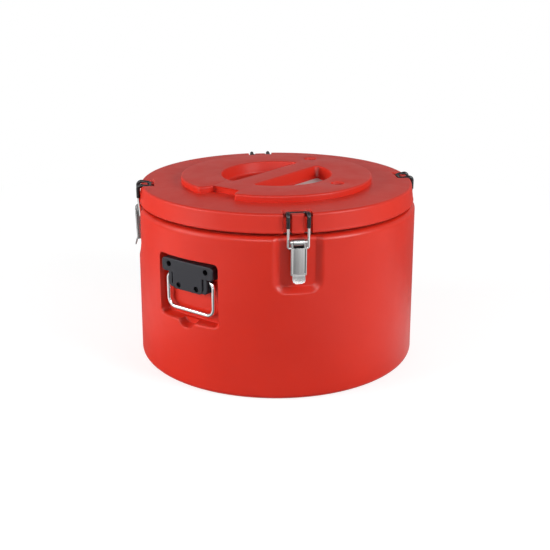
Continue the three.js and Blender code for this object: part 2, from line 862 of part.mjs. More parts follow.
// Everything that is cut into the lid from outside, grown by a wall for the space behind it.
function lidCutters(grow) {
  const strikes = Object.values(latchAngles).flatMap((angle) => {
    const pocket = turnedSolid(strikePocket(grow), angle);
    const grooves = [-1, 1].map((side) => turnedSolid(strikeGroove(side, grow), angle));
    const kept = grow > 0 ? pocket : pocket.subtract(turnedSolid(strikeLip(), angle));
    return [kept, ...grooves];
  });
  return [
    toSolid(gripCutter(grow)),
    turnedSolid(gripCutter(grow), halfTurn),
    toSolid(notchCutter(grow)),
    ...Object.values(pitPlaces).map((at) => pitCutter(at, grow)),
    ...strikes,
  ];
}

// Profile of the lid's outside above its side: rounded edge, flat top and raised disc.
function lidCrown() {
  const side = lidSide(lidTop - lidTopEdgeRadius);
  const edgeUp = discTop - discEdgeRadius;
  return [
    ...arcPoints(side - lidTopEdgeRadius, lidTop - lidTopEdgeRadius, lidTopEdgeRadius, 0, quarterTurn),
    new THREE.Vector2(discRadius, lidTop),
    ...arcPoints(discRadius - discEdgeRadius, edgeUp, discEdgeRadius, 0, quarterTurn, cornerSteps),
    new THREE.Vector2(0, discTop),
  ];
}

// The same profile inside the lid, inset by a wall, with plain corners.
function lidCrownInside(inset) {
  return [
    new THREE.Vector2(lidSide(lidTop - inset) - inset, lidTop - inset),
    new THREE.Vector2(discRadius - inset, lidTop - inset),
    new THREE.Vector2(discRadius - inset, discTop - inset),
    new THREE.Vector2(0, discTop - inset),
  ];
}

function lidShell() {
  const outside = toSolid(revolve([
    new THREE.Vector2(0, lidUnderside),
    new THREE.Vector2(lidLowerRadius - skirtWidth, lidUnderside),
    new THREE.Vector2(lidLowerRadius - skirtWidth, lidLowEdge),
    ...arcPoints(
      lidLowerRadius - lidLowerEdgeRadius,
      lidLowEdge + lidLowerEdgeRadius,
      lidLowerEdgeRadius,
      -quarterTurn,
      0,
      cornerSteps,
    ),
    ...lidCrown(),
  ]));
  const cavity = toSolid(revolve([
    new THREE.Vector2(0, lidUnderside + lidWall),
    new THREE.Vector2(lidSide(lidUnderside + lidWall) - lidWall, lidUnderside + lidWall),
    ...lidCrownInside(lidWall),
  ]));
  const opening = toSolid(revolve([
    new THREE.Vector2(0, lidUnderside - overrun),
    new THREE.Vector2(lidOpeningRadius, lidUnderside - overrun),
    new THREE.Vector2(lidOpeningRadius, lidUnderside + lidWall + fitGap),
    new THREE.Vector2(0, lidUnderside + lidWall + fitGap),
  ]));
  const hollow = subtractAll(cavity.add(opening), lidCutters(lidWall));
  const stems = Object.values(pitPlaces).map((at) => stemHole(at, discTop, discHeight + lidWall));
  return subtractAll(outside, [...lidCutters(0), hollow, ...stems]);
}

// Profile of the lid liner's pan, at a wall's thickness inside its outer face.
function panSide(wall) {
  const round = plugCornerRadius - wall;
  const low = rimHeight - plugDepth + wall;
  const side = plugRadius - plugDraftWidth - wall;
  return [
    new THREE.Vector2(0, low),
    ...arcPoints(side - round, low + round, round, -quarterTurn, 0, cornerSteps),
  ];
}

function lidFoam() {
  const block = toSolid(revolve([
    ...panSide(lidLinerWall + fitGap),
    new THREE.Vector2(plugRadius - lidLinerWall - fitGap, brimTop + fitGap),
    new THREE.Vector2(lidOpeningRadius - fitGap, brimTop + fitGap),
    new THREE.Vector2(lidOpeningRadius - fitGap, lidUnderside + lidWall + fitGap),
    new THREE.Vector2(lidSide(lidUnderside + lidWall) - lidWall - fitGap, lidUnderside + lidWall + fitGap),
    ...lidCrownInside(lidWall + fitGap),
  ]));
  const stems = Object.values(pitPlaces).map((at) => (
    stemHole(at, discTop - pitDepth, plugStemLength + lidWall)
  ));
  return subtractAll(block, [...lidCutters(lidWall + fitGap), ...stems]);
}

function lidLiner() {
  const brimRadius = lidLowerRadius - skirtWidth - fitGap;
  return toSolid(revolve([
    ...panSide(0),
    new THREE.Vector2(plugRadius, brimUnderside),
    new THREE.Vector2(brimRadius, brimUnderside),
    new THREE.Vector2(brimRadius, brimTop),
    new THREE.Vector2(plugRadius - lidLinerWall, brimTop),
    ...panSide(lidLinerWall).reverse(),
  ]));
}

// Gasket: a band under the lid liner's brim, narrower where it presses on the body's rim.
function gasket() {
  const inner = mouthRadius + gasketInnerInset;
  const outer = lidLowerRadius - skirtWidth - gasketOuterInset;
  const low = rimHeight + fitGap;
  const top = brimUnderside - fitGap;
  const middle = (low + top) / 2;
  return toSolid(revolveRing([
    new THREE.Vector2(inner, top),
    new THREE.Vector2(inner, middle),
    new THREE.Vector2(inner + gasketBevelWidth, low),
    new THREE.Vector2(outer - gasketBevelWidth, low),
    new THREE.Vector2(outer, middle),
    new THREE.Vector2(outer, top),
  ]));
}

// Filling plug: a low head on a stem through the lid's wall.
function fillingPlug(at) {
  const headLow = discTop - pitDepth + fitGap;
  const profile = [
    new THREE.Vector2(0, headLow - plugStemLength),
    new THREE.Vector2(plugStemRadius, headLow - plugStemLength),
    new THREE.Vector2(plugStemRadius, headLow),
    new THREE.Vector2(plugHeadRadius, headLow),
    new THREE.Vector2(plugHeadRadius, headLow + plugHeadHeight / 2),
    new THREE.Vector2(plugHeadRadius - plugHeadHeight / 2, headLow + plugHeadHeight),
    new THREE.Vector2(0, headLow + plugHeadHeight),
  ];
  const geometry = new THREE.LatheGeometry(profile, smallFacets).rotateX(quarterTurn * degree);
  return toSolid(geometry.translate(at.x, at.y, 0));
}

// Latch places: the lever's hinge and the bail's pivot, outward and up.
const hingeOutward = pocketFloor + hingeHeight;
const pivotOutward = hingeOutward - bailPivotInset;
const pivotUp = hingeUp - bailPivotDrop;
const basePlateBack = pocketFloor + fitGap;
const basePlateFace = basePlateBack + latchSheetThickness;

// Points on a circle round the hinge or pivot, from one angle to another.
function hingeArc(radius, from, to, steps = arcSteps) {
  return arcPoints(hingeOutward, hingeUp, radius, from, to, steps);
}

const wallSlopeShare = 0.35;
const barrelStart = 95;
const barrelEnd = -75;

// Latch base: a plate with two side walls, whose top edge rolls over the hinge pin.
function latchBase() {
  const wallTop = basePlateBack + latchWallHeight;
  const low = latchBaseLow;
  const wallSlope = latchWallHeight * wallSlopeShare;
  const sides = toSolid(acrossSolid([
    new THREE.Vector2(basePlateBack, low),
    new THREE.Vector2(basePlateFace, low),
    new THREE.Vector2(wallTop, low + wallSlope),
    new THREE.Vector2(wallTop, hingeUp),
    ...hingeArc(barrelRadius - fitGap, 0, quarterTurn).slice(1),
    new THREE.Vector2(basePlateBack, hingeUp + barrelRadius - fitGap),
  ], latchBaseWidth));
  const channel = toSolid(acrossSolid([
    new THREE.Vector2(basePlateFace, low - overrun),
    new THREE.Vector2(wallTop + overrun, low - overrun),
    new THREE.Vector2(wallTop + overrun, hingeUp + barrelRadius + overrun),
    new THREE.Vector2(basePlateFace, hingeUp + barrelRadius + overrun),
  ], latchBaseWidth - 2 * latchSheetThickness));
  const barrelInner = hingePinRadius + fitGap;
  const roll = toSolid(acrossSolid([
    new THREE.Vector2(basePlateBack, hingeUp),
    new THREE.Vector2(basePlateBack, hingeUp + barrelRadius),
    ...hingeArc(barrelRadius, barrelStart, barrelEnd),
    ...hingeArc(barrelInner, barrelEnd, barrelStart),
    new THREE.Vector2(basePlateFace, hingeUp + barrelInner),
    new THREE.Vector2(basePlateFace, hingeUp),
  ], latchBaseWidth - latchSheetThickness));
  const pinHole = toSolid(acrossCylinder(
    hingeOutward, hingeUp, barrelInner, -latchBaseWidth, latchBaseWidth, smallFacets,
  ));
  const rivetHoles = latchRivets.map((rivet) => toSolid(outwardCylinder(
    0, rivet.up, rivetShankRadius + fitGap, basePlateBack - overrun, basePlateFace + overrun,
  )));
  return subtractAll(sides.subtract(channel).add(roll), [pinHole, ...rivetHoles]);
}

const leverFace = pocketFloor + leverStandOff;
const leverTop = bodyHeight - leverTopDrop;
const leverLow = leverTop - leverLength;
const leverLowFace = leverFace - leverTaperDepth;
const flangeShares = { kneeUp: 0.62, footUp: 0.06, footDepth: 0.45 };

// Side view of the lever's flanges, from the hinge round the bail's pivot and down the handle.
function leverSide() {
  const kneeUp = leverLow + leverLength * flangeShares.kneeUp;
  const footUp = leverLow + leverLength * flangeShares.footUp;
  return [
    new THREE.Vector2(leverLowFace, leverLow),
    new THREE.Vector2(leverFace, leverTop),
    ...hingeArc(leverHingeRadius, 0, halfTurn),
    ...arcPoints(pivotOutward, pivotUp, leverPivotRadius, halfTurn, halfTurn + quarterTurn, cornerSteps),
    new THREE.Vector2(leverFace - leverFlangeDepth, kneeUp),
    new THREE.Vector2(leverLowFace - leverFlangeDepth, footUp),
    new THREE.Vector2(leverLowFace - leverFlangeDepth * flangeShares.footDepth, leverLow),
  ];
}

// Finger tab below the lever: narrower, kicked outward, with round corners.
function leverTab() {
  const low = leverLow - tabLength;
  const strip = toSolid(acrossSolid([
    new THREE.Vector2(leverLowFace - leverSheetThickness, leverLow + leverSheetThickness),
    new THREE.Vector2(leverLowFace - leverSheetThickness, leverLow),
    new THREE.Vector2(leverLowFace - leverSheetThickness + tabKickDepth, low),
    new THREE.Vector2(leverLowFace + tabKickDepth, low),
    new THREE.Vector2(leverLowFace, leverLow),
    new THREE.Vector2(leverLowFace, leverLow + leverSheetThickness),
  ], tabWidth));
  const height = tabLength + 2 * tabCornerRadius;
  const outline = roundedRectangle(-tabWidth / 2, low, tabWidth, height, tabCornerRadius);
  const back = leverLowFace - overrun - leverSheetThickness;
  const front = toSolid(outwardSolid(outline, back, leverLowFace + tabKickDepth + overrun));
  return strip.intersect(front);
}

// Latch lever: a channel of sheet whose flanges carry the hinge pin and the bail.
function latchLever() {
  const body = toSolid(acrossSolid(leverSide(), leverWidth));
  const channel = toSolid(acrossSolid([
    new THREE.Vector2(pocketFloor - overrun, leverLow - overrun),
    new THREE.Vector2(leverLowFace - leverSheetThickness, leverLow - overrun),
    new THREE.Vector2(leverFace - leverSheetThickness, leverTop),
    new THREE.Vector2(leverFace + overrun, leverTop),
    new THREE.Vector2(leverFace + overrun, hingeUp + leverHingeRadius + overrun),
    new THREE.Vector2(pocketFloor - overrun, hingeUp + leverHingeRadius + overrun),
  ], leverWidth - 2 * leverSheetThickness));
  const pinHole = toSolid(acrossCylinder(
    hingeOutward, hingeUp, hingePinRadius + fitGap, -leverWidth, leverWidth,
  ));
  const bailHoles = toSolid(acrossCylinder(
    pivotOutward, pivotUp, bailWireRadius + fitGap, -leverWidth, leverWidth,
  ));
  return subtractAll(body.subtract(channel).add(leverTab()), [pinHole, bailHoles]);
}

// Hinge pin, with a flat head outside each of the lever's flanges.
function hingePin() {
  const headFrom = leverWidth / 2 + fitGap;
  const shank = toSolid(acrossCylinder(
    hingeOutward, hingeUp, hingePinRadius, -headFrom - fitGap, headFrom + fitGap,
  ));
  const heads = [-1, 1].map((side) => {
    const ends = [side * headFrom, side * (headFrom + hingePinHeadHeight)].sort((a, b) => a - b);
    return toSolid(acrossCylinder(hingeOutward, hingeUp, hingePinHeadRadius, ends[0], ends[1]));
  });
  return heads.reduce((pin, head) => pin.add(head), shank);
}

const sleeveFrom = barHeight - sleeveLength;

// Corners of a bail on one side, from the start of its sleeve to its cross bar.
function hookCorners(side) {
  return [
    place(side * legAcross, legOutward, sleeveFrom),
    place(side * legAcross, legOutward, barHeight),
    place(side * legAcross, barOutward, barHeight),
  ];
}

// Latch bail: one wire from flange to flange, over the lid's edge.
function latchBail() {
  const endAcross = leverWidth / 2 - leverSheetThickness - fitGap;
  const ends = (side) => [
    place(side * endAcross, pivotOutward, pivotUp),
    place(side * legAcross, pivotOutward, pivotUp),
  ];
  const corners = [...ends(-1), ...hookCorners(-1), ...hookCorners(1).reverse(), ...ends(1).reverse()];
  const radii = [
    0, bailEndBendRadius, bailBendRadius, bailBendRadius, bailBendRadius,
    bailBendRadius, bailBendRadius, bailBendRadius, bailEndBendRadius, 0,
  ];
  return toSolid(wire(roundedPath(corners, radii), bailWireRadius, wireFacets));
}

// Rubber sleeve over the bail's hook.
function bailSleeve() {
  const corners = [...hookCorners(-1), ...hookCorners(1).reverse()];
  const radii = [0, bailBendRadius, bailBendRadius, bailBendRadius, bailBendRadius, 0];
  const start = fitGap * (bailBendRadius / sleeveRadius);
  const from = corners[0].clone().setZ(sleeveFrom + start);
  const to = corners[corners.length - 1].clone().setZ(sleeveFrom + start);
  const path = roundedPath([from, ...corners.slice(1, -1), to], radii);
  return toSolid(wire(path, sleeveRadius, wireFacets, bailWireRadius + wireFitGap));
}

// Rivet with a domed head on the base plate.
function latchRivet(up) {
  const headLow = basePlateFace + fitGap;
  const shank = toSolid(outwardCylinder(
    0, up, rivetShankRadius, pocketFloor - shellWall + fitGap, headLow + fitGap,
  ));
  const middle = place(0, headLow + rivetHeadHeight / 2, up);
  const head = new THREE.CylinderGeometry(rivetHeadRadius, rivetHeadRadius / 2, rivetHeadHeight, smallFacets);
  return shank.add(toSolid(head.translate(middle.x, middle.y, middle.z)));
}

// Handle places: the bail's pivot, outward and up.
const handlePivotOutward = recessFloorRadius + handlePivotDepth;
const handlePivotUp = bracketTop - bracketBarHeight - handlePivotGap;

// Handle bracket: a bar with round ends, a raised panel, and a lower ear on each side of the panel.
function handleBracket() {
  const bar = toSolid(outwardSolid(
    roundedRectangle(
      -bracketWidth / 2, bracketTop - bracketBarHeight, bracketWidth, bracketBarHeight, bracketBarHeight / 2,
    ),
    bracketBack, bracketBack + bracketBarThickness, bracketEdgeWidth,
  ));
  const panel = toSolid(outwardSolid(
    roundedRectangle(-panelWidth / 2, panelLow, panelWidth, panelHeight, panelCornerRadius),
    bracketBack, bracketBack + panelThickness, bracketEdgeWidth,
  ));
  const earLow = panelLow + earLowRise;
  const earHeight = bracketTop - bracketBarHeight / 2 - earLow;
  const ears = toSolid(outwardSolid(
    roundedRectangle(-earSpan / 2, earLow, earSpan, earHeight, earCornerRadius),
    bracketBack, bracketBack + earThickness, bracketEdgeWidth,
  ));
  const solid = bar.add(panel).add(ears);
  return subtractAll(solid, [...bailSockets(), ...bracketScrews.flatMap(screwSeat)]);
}

// Sockets for the bail's ends in the panel's sides, and a trough in each ear where the bail's bend turns.
function bailSockets() {
  const bendStart = legSpan / 2 - handleTopBend;
  const bendDrop = handleTopBend - Math.sqrt(handleTopBend ** 2 - (earSpan / 2 - bendStart) ** 2);
  const turnRadius = handleWireRadius + bendDrop + handleTurnGap;
  const mouth = panelWidth / 2 - fitGap;
  const far = earSpan / 2 + overrun;
  const bore = (side, radius, from) => {
    const [start, end] = side > 0 ? [from, far] : [-far, -from];
    return toSolid(acrossCylinder(handlePivotOutward, handlePivotUp, radius, start, end, handleWireFacets));
  };
  return [-1, 1].flatMap((side) => [
    bore(side, handleWireRadius + fitGap, mouth - handleEndLength),
    bore(side, turnRadius, mouth),
  ]);
}

// Counterbore and hole for a screw of the bracket.
function screwSeat(screw) {
  const floor = screw.face - screwSinkDepth - screwHeadHeight - fitGap;
  return [
    toSolid(outwardCylinder(screw.across, screw.up, screwHeadRadius + fitGap, floor, screw.face + overrun)),
    toSolid(outwardCylinder(
      screw.across, screw.up, screwShankRadius + fitGap, bracketBack - overrun, floor + overrun,
    )),
  ];
}

// Screw sunk in the bracket, with a drive socket in its head.
function bracketScrew(screw) {
  const headTop = screw.face - screwSinkDepth;
  const headLow = headTop - screwHeadHeight;
  const head = toSolid(outwardCylinder(screw.across, screw.up, screwHeadRadius, headLow, headTop));
  const shank = toSolid(outwardCylinder(
    screw.across, screw.up, screwShankRadius, recessFloorRadius - shellWall + fitGap, headLow + fitGap,
  ));
  const driveLow = headTop - screwHeadHeight / 2;
  const drive = toSolid(outwardCylinder(
    screw.across, screw.up, screwHeadRadius / 2, driveLow, headTop + overrun, driveFacets,
  ));
  return head.add(shank).subtract(drive);
}

// Handle bail: a round bar bent to a U, its ends turned in to the bracket's sockets.
function handleBail() {
  const legAt = legSpan / 2;
  const endAt = panelWidth / 2 - handleEndLength;
  const low = handlePivotUp - handleDrop;
  const side = (sign) => [
    place(sign * endAt, handlePivotOutward, handlePivotUp),
    place(sign * legAt, handlePivotOutward, handlePivotUp),
    place(sign * legAt, handlePivotOutward, low),
  ];
  const corners = [...side(-1), ...side(1).reverse()];
  const radii = [0, handleTopBend, handleLowerBend, handleLowerBend, handleTopBend, 0];
  return toSolid(wire(roundedPath(corners, radii, handleBendSteps), handleWireRadius, handleWireFacets));
}

const container = new THREE.Group();

// Adds a named piece, turned about the axis if it stands at an angle.
function addPiece(name, solid, material, angle = 0) {
  const mesh = new THREE.Mesh(toGeometry(solid), new THREE.MeshStandardMaterial(materials[material]));
  mesh.name = name;
  mesh.rotation.z = angle * degree;
  container.add(mesh);
}

function addBodyPieces() {
  addPiece('outer_shell', outerShell(), 'shell');
  addPiece('body_insulation', insulationFoam(), 'foam');
  addPiece('inner_liner', innerLiner(), 'liner');
}

function addLidPieces() {
  addPiece('lid_shell', lidShell(), 'shell');
  addPiece('lid_insulation', lidFoam(), 'foam');
  addPiece('lid_liner', lidLiner(), 'liner');
  addPiece('lid_gasket', gasket(), 'gasket');
  Object.entries(pitPlaces).forEach(([name, at]) => {
    addPiece(`lid_${name}_filling_plug`, fillingPlug(at), 'shell');
  });
}

function addLatches() {
  const pieces = {
    base: [latchBase(), 'steel'],
    lever: [latchLever(), 'steel'],
    hinge_pin: [hingePin(), 'steel'],
    bail: [latchBail(), 'steel'],
    bail_sleeve: [bailSleeve(), 'sleeve'],
  };
  latchRivets.forEach((rivet) => {
    pieces[`${rivet.name}_rivet`] = [latchRivet(rivet.up), 'steel'];
  });
  Object.entries(latchAngles).forEach(([corner, angle]) => {
    Object.entries(pieces).forEach(([piece, [solid, material]]) => {
      addPiece(`${corner}_latch_${piece}`, solid, material, angle);
    });
  });
}

function addHandles() {
  Object.entries(handleAngles).forEach(([side, angle]) => {
    addPiece(`${side}_handle_bracket`, handleBracket(), 'bracket', angle);
    addPiece(`${side}_handle_bail`, handleBail(), 'chrome', angle);
    bracketScrews.forEach((screw) => {
      addPiece(`${side}_handle_${screw.name}_screw`, bracketScrew(screw), 'screw', angle);
    });
  });
}

addBodyPieces();
addLidPieces();
addLatches();
addHandles();

export default container;
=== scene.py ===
import math

import bmesh
import bpy
import numpy as np
from mathutils import Matrix, Vector


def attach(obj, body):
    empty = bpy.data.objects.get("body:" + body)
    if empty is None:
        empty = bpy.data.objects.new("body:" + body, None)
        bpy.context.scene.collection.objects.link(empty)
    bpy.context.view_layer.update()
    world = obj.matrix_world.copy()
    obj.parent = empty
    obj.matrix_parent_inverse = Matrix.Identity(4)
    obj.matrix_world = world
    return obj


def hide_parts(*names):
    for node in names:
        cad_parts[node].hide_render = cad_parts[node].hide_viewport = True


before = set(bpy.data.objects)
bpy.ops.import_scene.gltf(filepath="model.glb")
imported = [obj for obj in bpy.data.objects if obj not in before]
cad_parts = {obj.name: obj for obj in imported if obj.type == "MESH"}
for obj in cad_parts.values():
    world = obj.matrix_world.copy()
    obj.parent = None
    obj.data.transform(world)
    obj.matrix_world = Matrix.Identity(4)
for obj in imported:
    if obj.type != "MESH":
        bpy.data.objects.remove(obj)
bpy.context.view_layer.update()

# An insulated beverage container. Its shapes are in millimetres and degrees, its studio in metres.

MM = 0.001
MERGE_DISTANCE = 2e-6
ROUND_SEGMENTS = 192

# Where the latches and the handles sit round the axis, from the front (-Y) towards +X
CORNERS = {"front_left": -45.0, "front_right": 45.0, "rear_right": 135.0, "rear_left": -135.0}
SIDES = {"left": -90.0, "right": 90.0}


# Camera, at the photograph's angle

CAMERA_AT = (-1.12672, -0.84635, 0.59831)
CAMERA_TILT = 71.06
CAMERA_TURN = -53.0
CAMERA_LENS = 60.49
SENSOR_WIDTH = 36.0

camera_data = bpy.data.cameras.new("camera")
camera_data.lens = CAMERA_LENS
camera_data.sensor_width = SENSOR_WIDTH
camera = bpy.data.objects.new("camera", camera_data)
camera.location = CAMERA_AT
camera.rotation_euler = (math.radians(CAMERA_TILT), 0.0, math.radians(CAMERA_TURN))
bpy.context.scene.collection.objects.link(camera)
bpy.context.scene.camera = camera


# Points and outlines

QUARTER = [math.radians(a) for a in (15, 30, 45, 60, 75, 90)]


def round_angles(count):
    """Angles, in radians, that divide a full turn."""
    return [2 * math.pi * i / count for i in range(count)]


def arc(x, y, radius, start, end, steps):
    """Points of an arc about a centre, both ends included."""
    spread = [math.radians(start + (end - start) * i / steps) for i in range(steps + 1)]
    return [(x + radius * math.cos(a), y + radius * math.sin(a)) for a in spread]


def cubic(a, b, c, d, count):
    """Points of a cubic curve in the plane, both ends included."""
    points = []
    for i in range(count + 1):
        s = i / count
        weights = ((1 - s) ** 3, 3 * (1 - s) ** 2 * s, 3 * (1 - s) * s * s, s ** 3)
        points.append(tuple(sum(w * p[k] for w, p in zip(weights, (a, b, c, d))) for k in (0, 1)))
    return points


def rounded_rectangle(left, low, width, height, radius):
    r = min(radius, width / 2, height / 2)
    steps = 8
    return (
        arc(left + width - r, low + r, r, -90, 0, steps)
        + arc(left + width - r, low + height - r, r, 0, 90, steps)
        + arc(left + r, low + height - r, r, 90, 180, steps)
        + arc(left + r, low + r, r, 180, 270, steps)
    )


def bent(here, back, ahead, radius):
    """Centre, start, end and sweep of the arc that rounds a corner."""
    to_back = (back - here).normalized()
    to_ahead = (ahead - here).normalized()
    half = to_back.angle(to_ahead) / 2
    centre = here + (to_back + to_ahead).normalized() * (radius / math.sin(half))
    reach = radius / math.tan(half)
    return centre, here + to_back * reach - centre, here + to_ahead * reach - centre, math.pi - 2 * half


def rounded_polygon(corners, radii):
    """A closed outline in the plane with each corner rounded."""
    out = []
    for i, (corner, radius) in enumerate(zip(corners, radii)):
        back = Vector((*corners[i - 1], 0.0))
        ahead = Vector((*corners[(i + 1) % len(corners)], 0.0))
        centre, start, end, sweep = bent(Vector((*corner, 0.0)), back, ahead, radius)
        sign = 1 if start.cross(end).z > 0 else -1
        for k in range(5):
            point = centre + Matrix.Rotation(sign * sweep * k / 4, 3, "Z") @ start
            out.append((point.x, point.y))
    return out


def rounded_path(corners, radii, steps):
    """An open path in space with each corner between its ends rounded."""
    points = [Vector(corners[0])]
    for i in range(1, len(corners) - 1):
        here, back, ahead = (Vector(corners[k]) for k in (i, i - 1, i + 1))
        centre, start, end, sweep = bent(here, back, ahead, radii[i])
        axis = start.cross(end).normalized()
        points += [centre + Matrix.Rotation(sweep * k / steps, 3, axis) @ start for k in range(steps + 1)]
    points.append(Vector(corners[-1]))
    return points


def place(across, outward, up):
    """A point of a piece that looks to the front (-Y)."""
    return (across, -outward, up)


def smooth_step(x):
    """Rises from 0 to 1 as x does, with level ends."""
    x = np.clip(x, 0.0, 1.0)
    return x * x * x * (x * (6 * x - 15) + 10)


def soft_min(a, b, k):
    """The lower of two values, rounded where they are less than k apart."""
    h = np.clip(0.5 + 0.5 * (b - a) / k, 0.0, 1.0)
    return b * (1 - h) + a * h - k * h * (1 - h)


def soft_max(a, b, k):
    """The higher of two values, rounded where they are less than k apart."""
    return -soft_min(-a, -b, k)


def box_distance(x, y, half_x, half_y, radius):
    """Signed distance to a rounded rectangle about the origin, negative inside."""
    qx = np.abs(x) - (half_x - radius)
    qy = np.abs(y) - (half_y - radius)
    outside = np.hypot(np.maximum(qx, 0), np.maximum(qy, 0))
    return outside + np.minimum(np.maximum(qx, qy), 0) - radius


def columns_with(fine, coarse):
    """A row of angles round the axis, in radians, that lie closer together within the given spans.

    Each span is its centre, its half width and its step, in degrees.
    """
    angles = []
    a = -180.0
    while a < 180.0 - 1e-6:
        angles.append(a)
        step = coarse
        for centre, half, fine_step in fine:
            off = (a - centre + 180.0) % 360.0 - 180.0
            if -half - 1e-6 <= off < half:
                step = min(step, fine_step)
            elif off < -half:
                step = min(step, max(-half - off, fine_step))
        a = a + step
    return np.radians(angles)[None, :]


def angle_from(theta, angle):
    """How far angles in radians are from one in degrees, between -pi and pi."""
    return (theta - math.radians(angle) + math.pi) % (2 * math.pi) - math.pi


# Meshes

def grid_faces(rows, columns):
    """Quads of a grid that closes round its columns."""
    faces = []
    for k in range(rows - 1):
        for i in range(columns):
            j = (i + 1) % columns
            faces.append((k * columns + i, k * columns + j, (k + 1) * columns + j, (k + 1) * columns + i))
    return faces


class Build:
    """Collects the points and the faces of one object."""

    def __init__(self):
        self.points = []
        self.faces = []

    def add(self, points, faces):
        start = len(self.points)
        self.points.extend(tuple(p) for p in points)
        self.faces.extend(tuple(start + i for i in face) for face in faces)
        return self

    def rings(self, rings, cap_start=True, cap_end=True):
        """A skin over closed rings with equally many points."""
        count = len(rings[0])
        faces = grid_faces(len(rings), count)
        if cap_start:
            faces.append(tuple(reversed(range(count))))
        if cap_end:
            faces.append(tuple(range((len(rings) - 1) * count, len(rings) * count)))
        return self.add([p for ring in rings for p in ring], faces)

    def turned_grid(self, r, theta, z):
        """A skin round the axis, from rows of radii, angles and heights."""
        points = np.stack([r * np.sin(theta), -r * np.cos(theta), z], axis=2)
        return self.add(points.reshape(-1, 3).tolist(), grid_faces(*r.shape))

    def revolve(self, profile, segments=ROUND_SEGMENTS, at=(0.0, 0.0)):
        """A profile of (radius, height) points turned round an upright axis."""
        angles = round_angles(segments)
        rings = [[(at[0] + r * math.cos(a), at[1] + r * math.sin(a), z) for a in angles] for r, z in profile]
        return self.rings(rings, cap_start=False, cap_end=False)

    def plate(self, outline, start, end):
        """A plate whose outline is outward and up, between two places across."""
        return self.rings([[place(a, n, z) for n, z in outline] for a in (start, end)])

    def stud(self, across, up, levels, facets=32):
        """A round pin or head pointing outward: its (radius, outward) levels."""
        angles = round_angles(facets)
        return self.rings([
            [place(across + r * math.cos(a), n, up + r * math.sin(a)) for a in angles] for r, n in levels
        ])

    def rod(self, outward, up, levels, facets=32):
        """A round pin lying across: its (radius, across) levels."""
        angles = round_angles(facets)
        return self.rings([
            [place(t, outward + r * math.cos(a), up + r * math.sin(a)) for a in angles] for r, t in levels
        ])

    def tube(self, path, radius, facets, swell=()):
        """A round tube along a path, its section carried along without twist."""
        side = None
        rings = []
        for i, point in enumerate(path):
            ahead = (path[min(i + 1, len(path) - 1)] - path[max(i - 1, 0)]).normalized()
            side = ahead.orthogonal() if side is None else side - ahead * side.dot(ahead)
            side.normalize()
            other = ahead.cross(side)
            r = radius + (swell[i] if swell else 0.0)
            rings.append([
                tuple(point + (side * math.cos(a) + other * math.sin(a)) * r) for a in round_angles(facets)
            ])
        return self.rings(rings)

    def flat_fill(self, loops):
        """A level surface inside the first loop and outside the others."""
        work = bmesh.new()
        edges = []
        for loop in loops:
            verts = [work.verts.new(p) for p in loop]
            edges += [work.edges.new((verts[i], verts[(i + 1) % len(verts)])) for i in range(len(verts))]
        bmesh.ops.triangle_fill(work, edges=edges, use_beauty=True, use_dissolve=False, normal=(0, 0, 1))
        work.verts.index_update()
        self.add([tuple(v.co) for v in work.verts], [tuple(v.index for v in f.verts) for f in work.faces])
        work.free()
        return self

    def to_object(self, name, material, sharp=40.0):
        """An object of the collected faces, with creases where they meet at more than the sharp angle."""
        mesh = bpy.data.meshes.new(name)
        mesh.from_pydata([tuple(c * MM for c in p) for p in self.points], [], self.faces)
        work = bmesh.new()
        work.from_mesh(mesh)
        bmesh.ops.remove_doubles(work, verts=work.verts, dist=MERGE_DISTANCE)
        bmesh.ops.recalc_face_normals(work, faces=work.faces)
        work.to_mesh(mesh)
        work.free()
        mesh.polygons.foreach_set("use_smooth", [True] * len(mesh.polygons))
        mesh.set_sharp_from_angle(angle=math.radians(sharp))
        mesh.materials.append(material)
        obj = bpy.data.objects.new(name, mesh)
        bpy.context.scene.collection.objects.link(obj)
        return obj


def turn(obj, angle):
    """Turns an object's mesh round the upright axis."""
    obj.data.transform(Matrix.Rotation(math.radians(angle), 4, "Z"))
    obj.data.update()
    return obj


def bevel(obj, width):
    """Rounds an object's edges, where its faces meet at more than 35 degrees."""
    mod = obj.modifiers.new("edges", "BEVEL")
    mod.width = width * MM
    mod.segments = 2
    mod.limit_method = "ANGLE"
    mod.angle_limit = math.radians(35.0)
    mod.harden_normals = True
    return obj


def combine(obj, other, operation):
    """Applies one boolean of two closed meshes, and deletes the second."""
    mod = obj.modifiers.new("cut", "BOOLEAN")
    mod.object = other
    mod.operation = operation
    mod.solver = "EXACT"
    depsgraph = bpy.context.evaluated_depsgraph_get()
    mesh = bpy.data.meshes.new_from_object(obj.evaluated_get(depsgraph))
    obj.modifiers.clear()
    old = obj.data
    obj.data = mesh
    bpy.data.meshes.remove(old)
    bpy.data.objects.remove(other)


# Shader nodes

WHITE = (1.0, 1.0, 1.0, 1.0)


def add_node(tree, kind, inputs=None, **settings):
    """Adds a node with its settings. An input is a value, or another node's output to link."""
    node = tree.nodes.new(kind)
    for name, value in settings.items():
        setattr(node, name, value)
    for name, value in (inputs or {}).items():
        if isinstance(value, bpy.types.NodeSocket):
            tree.links.new(value, node.inputs[name])
        else:
            node.inputs[name].default_value = value
    return node


def new_material(name):
    """A material without nodes, and its node tree."""
    mat = bpy.data.materials.new(name)
    mat.use_nodes = True
    mat.node_tree.nodes.clear()
    return mat, mat.node_tree


def noise(tree, scale, detail, roughness=0.5, stretch=None):
    """Noise in the object's own space, drawn out along the axes with a small stretch."""
    where = add_node(tree, "ShaderNodeTexCoord").outputs["Object"]
    if stretch:
        where = add_node(tree, "ShaderNodeMapping", {"Vector": where, "Scale": stretch}).outputs["Vector"]
    inputs = {"Vector": where, "Scale": scale, "Detail": detail, "Roughness": roughness}
    return add_node(tree, "ShaderNodeTexNoise", inputs).outputs["Fac"]


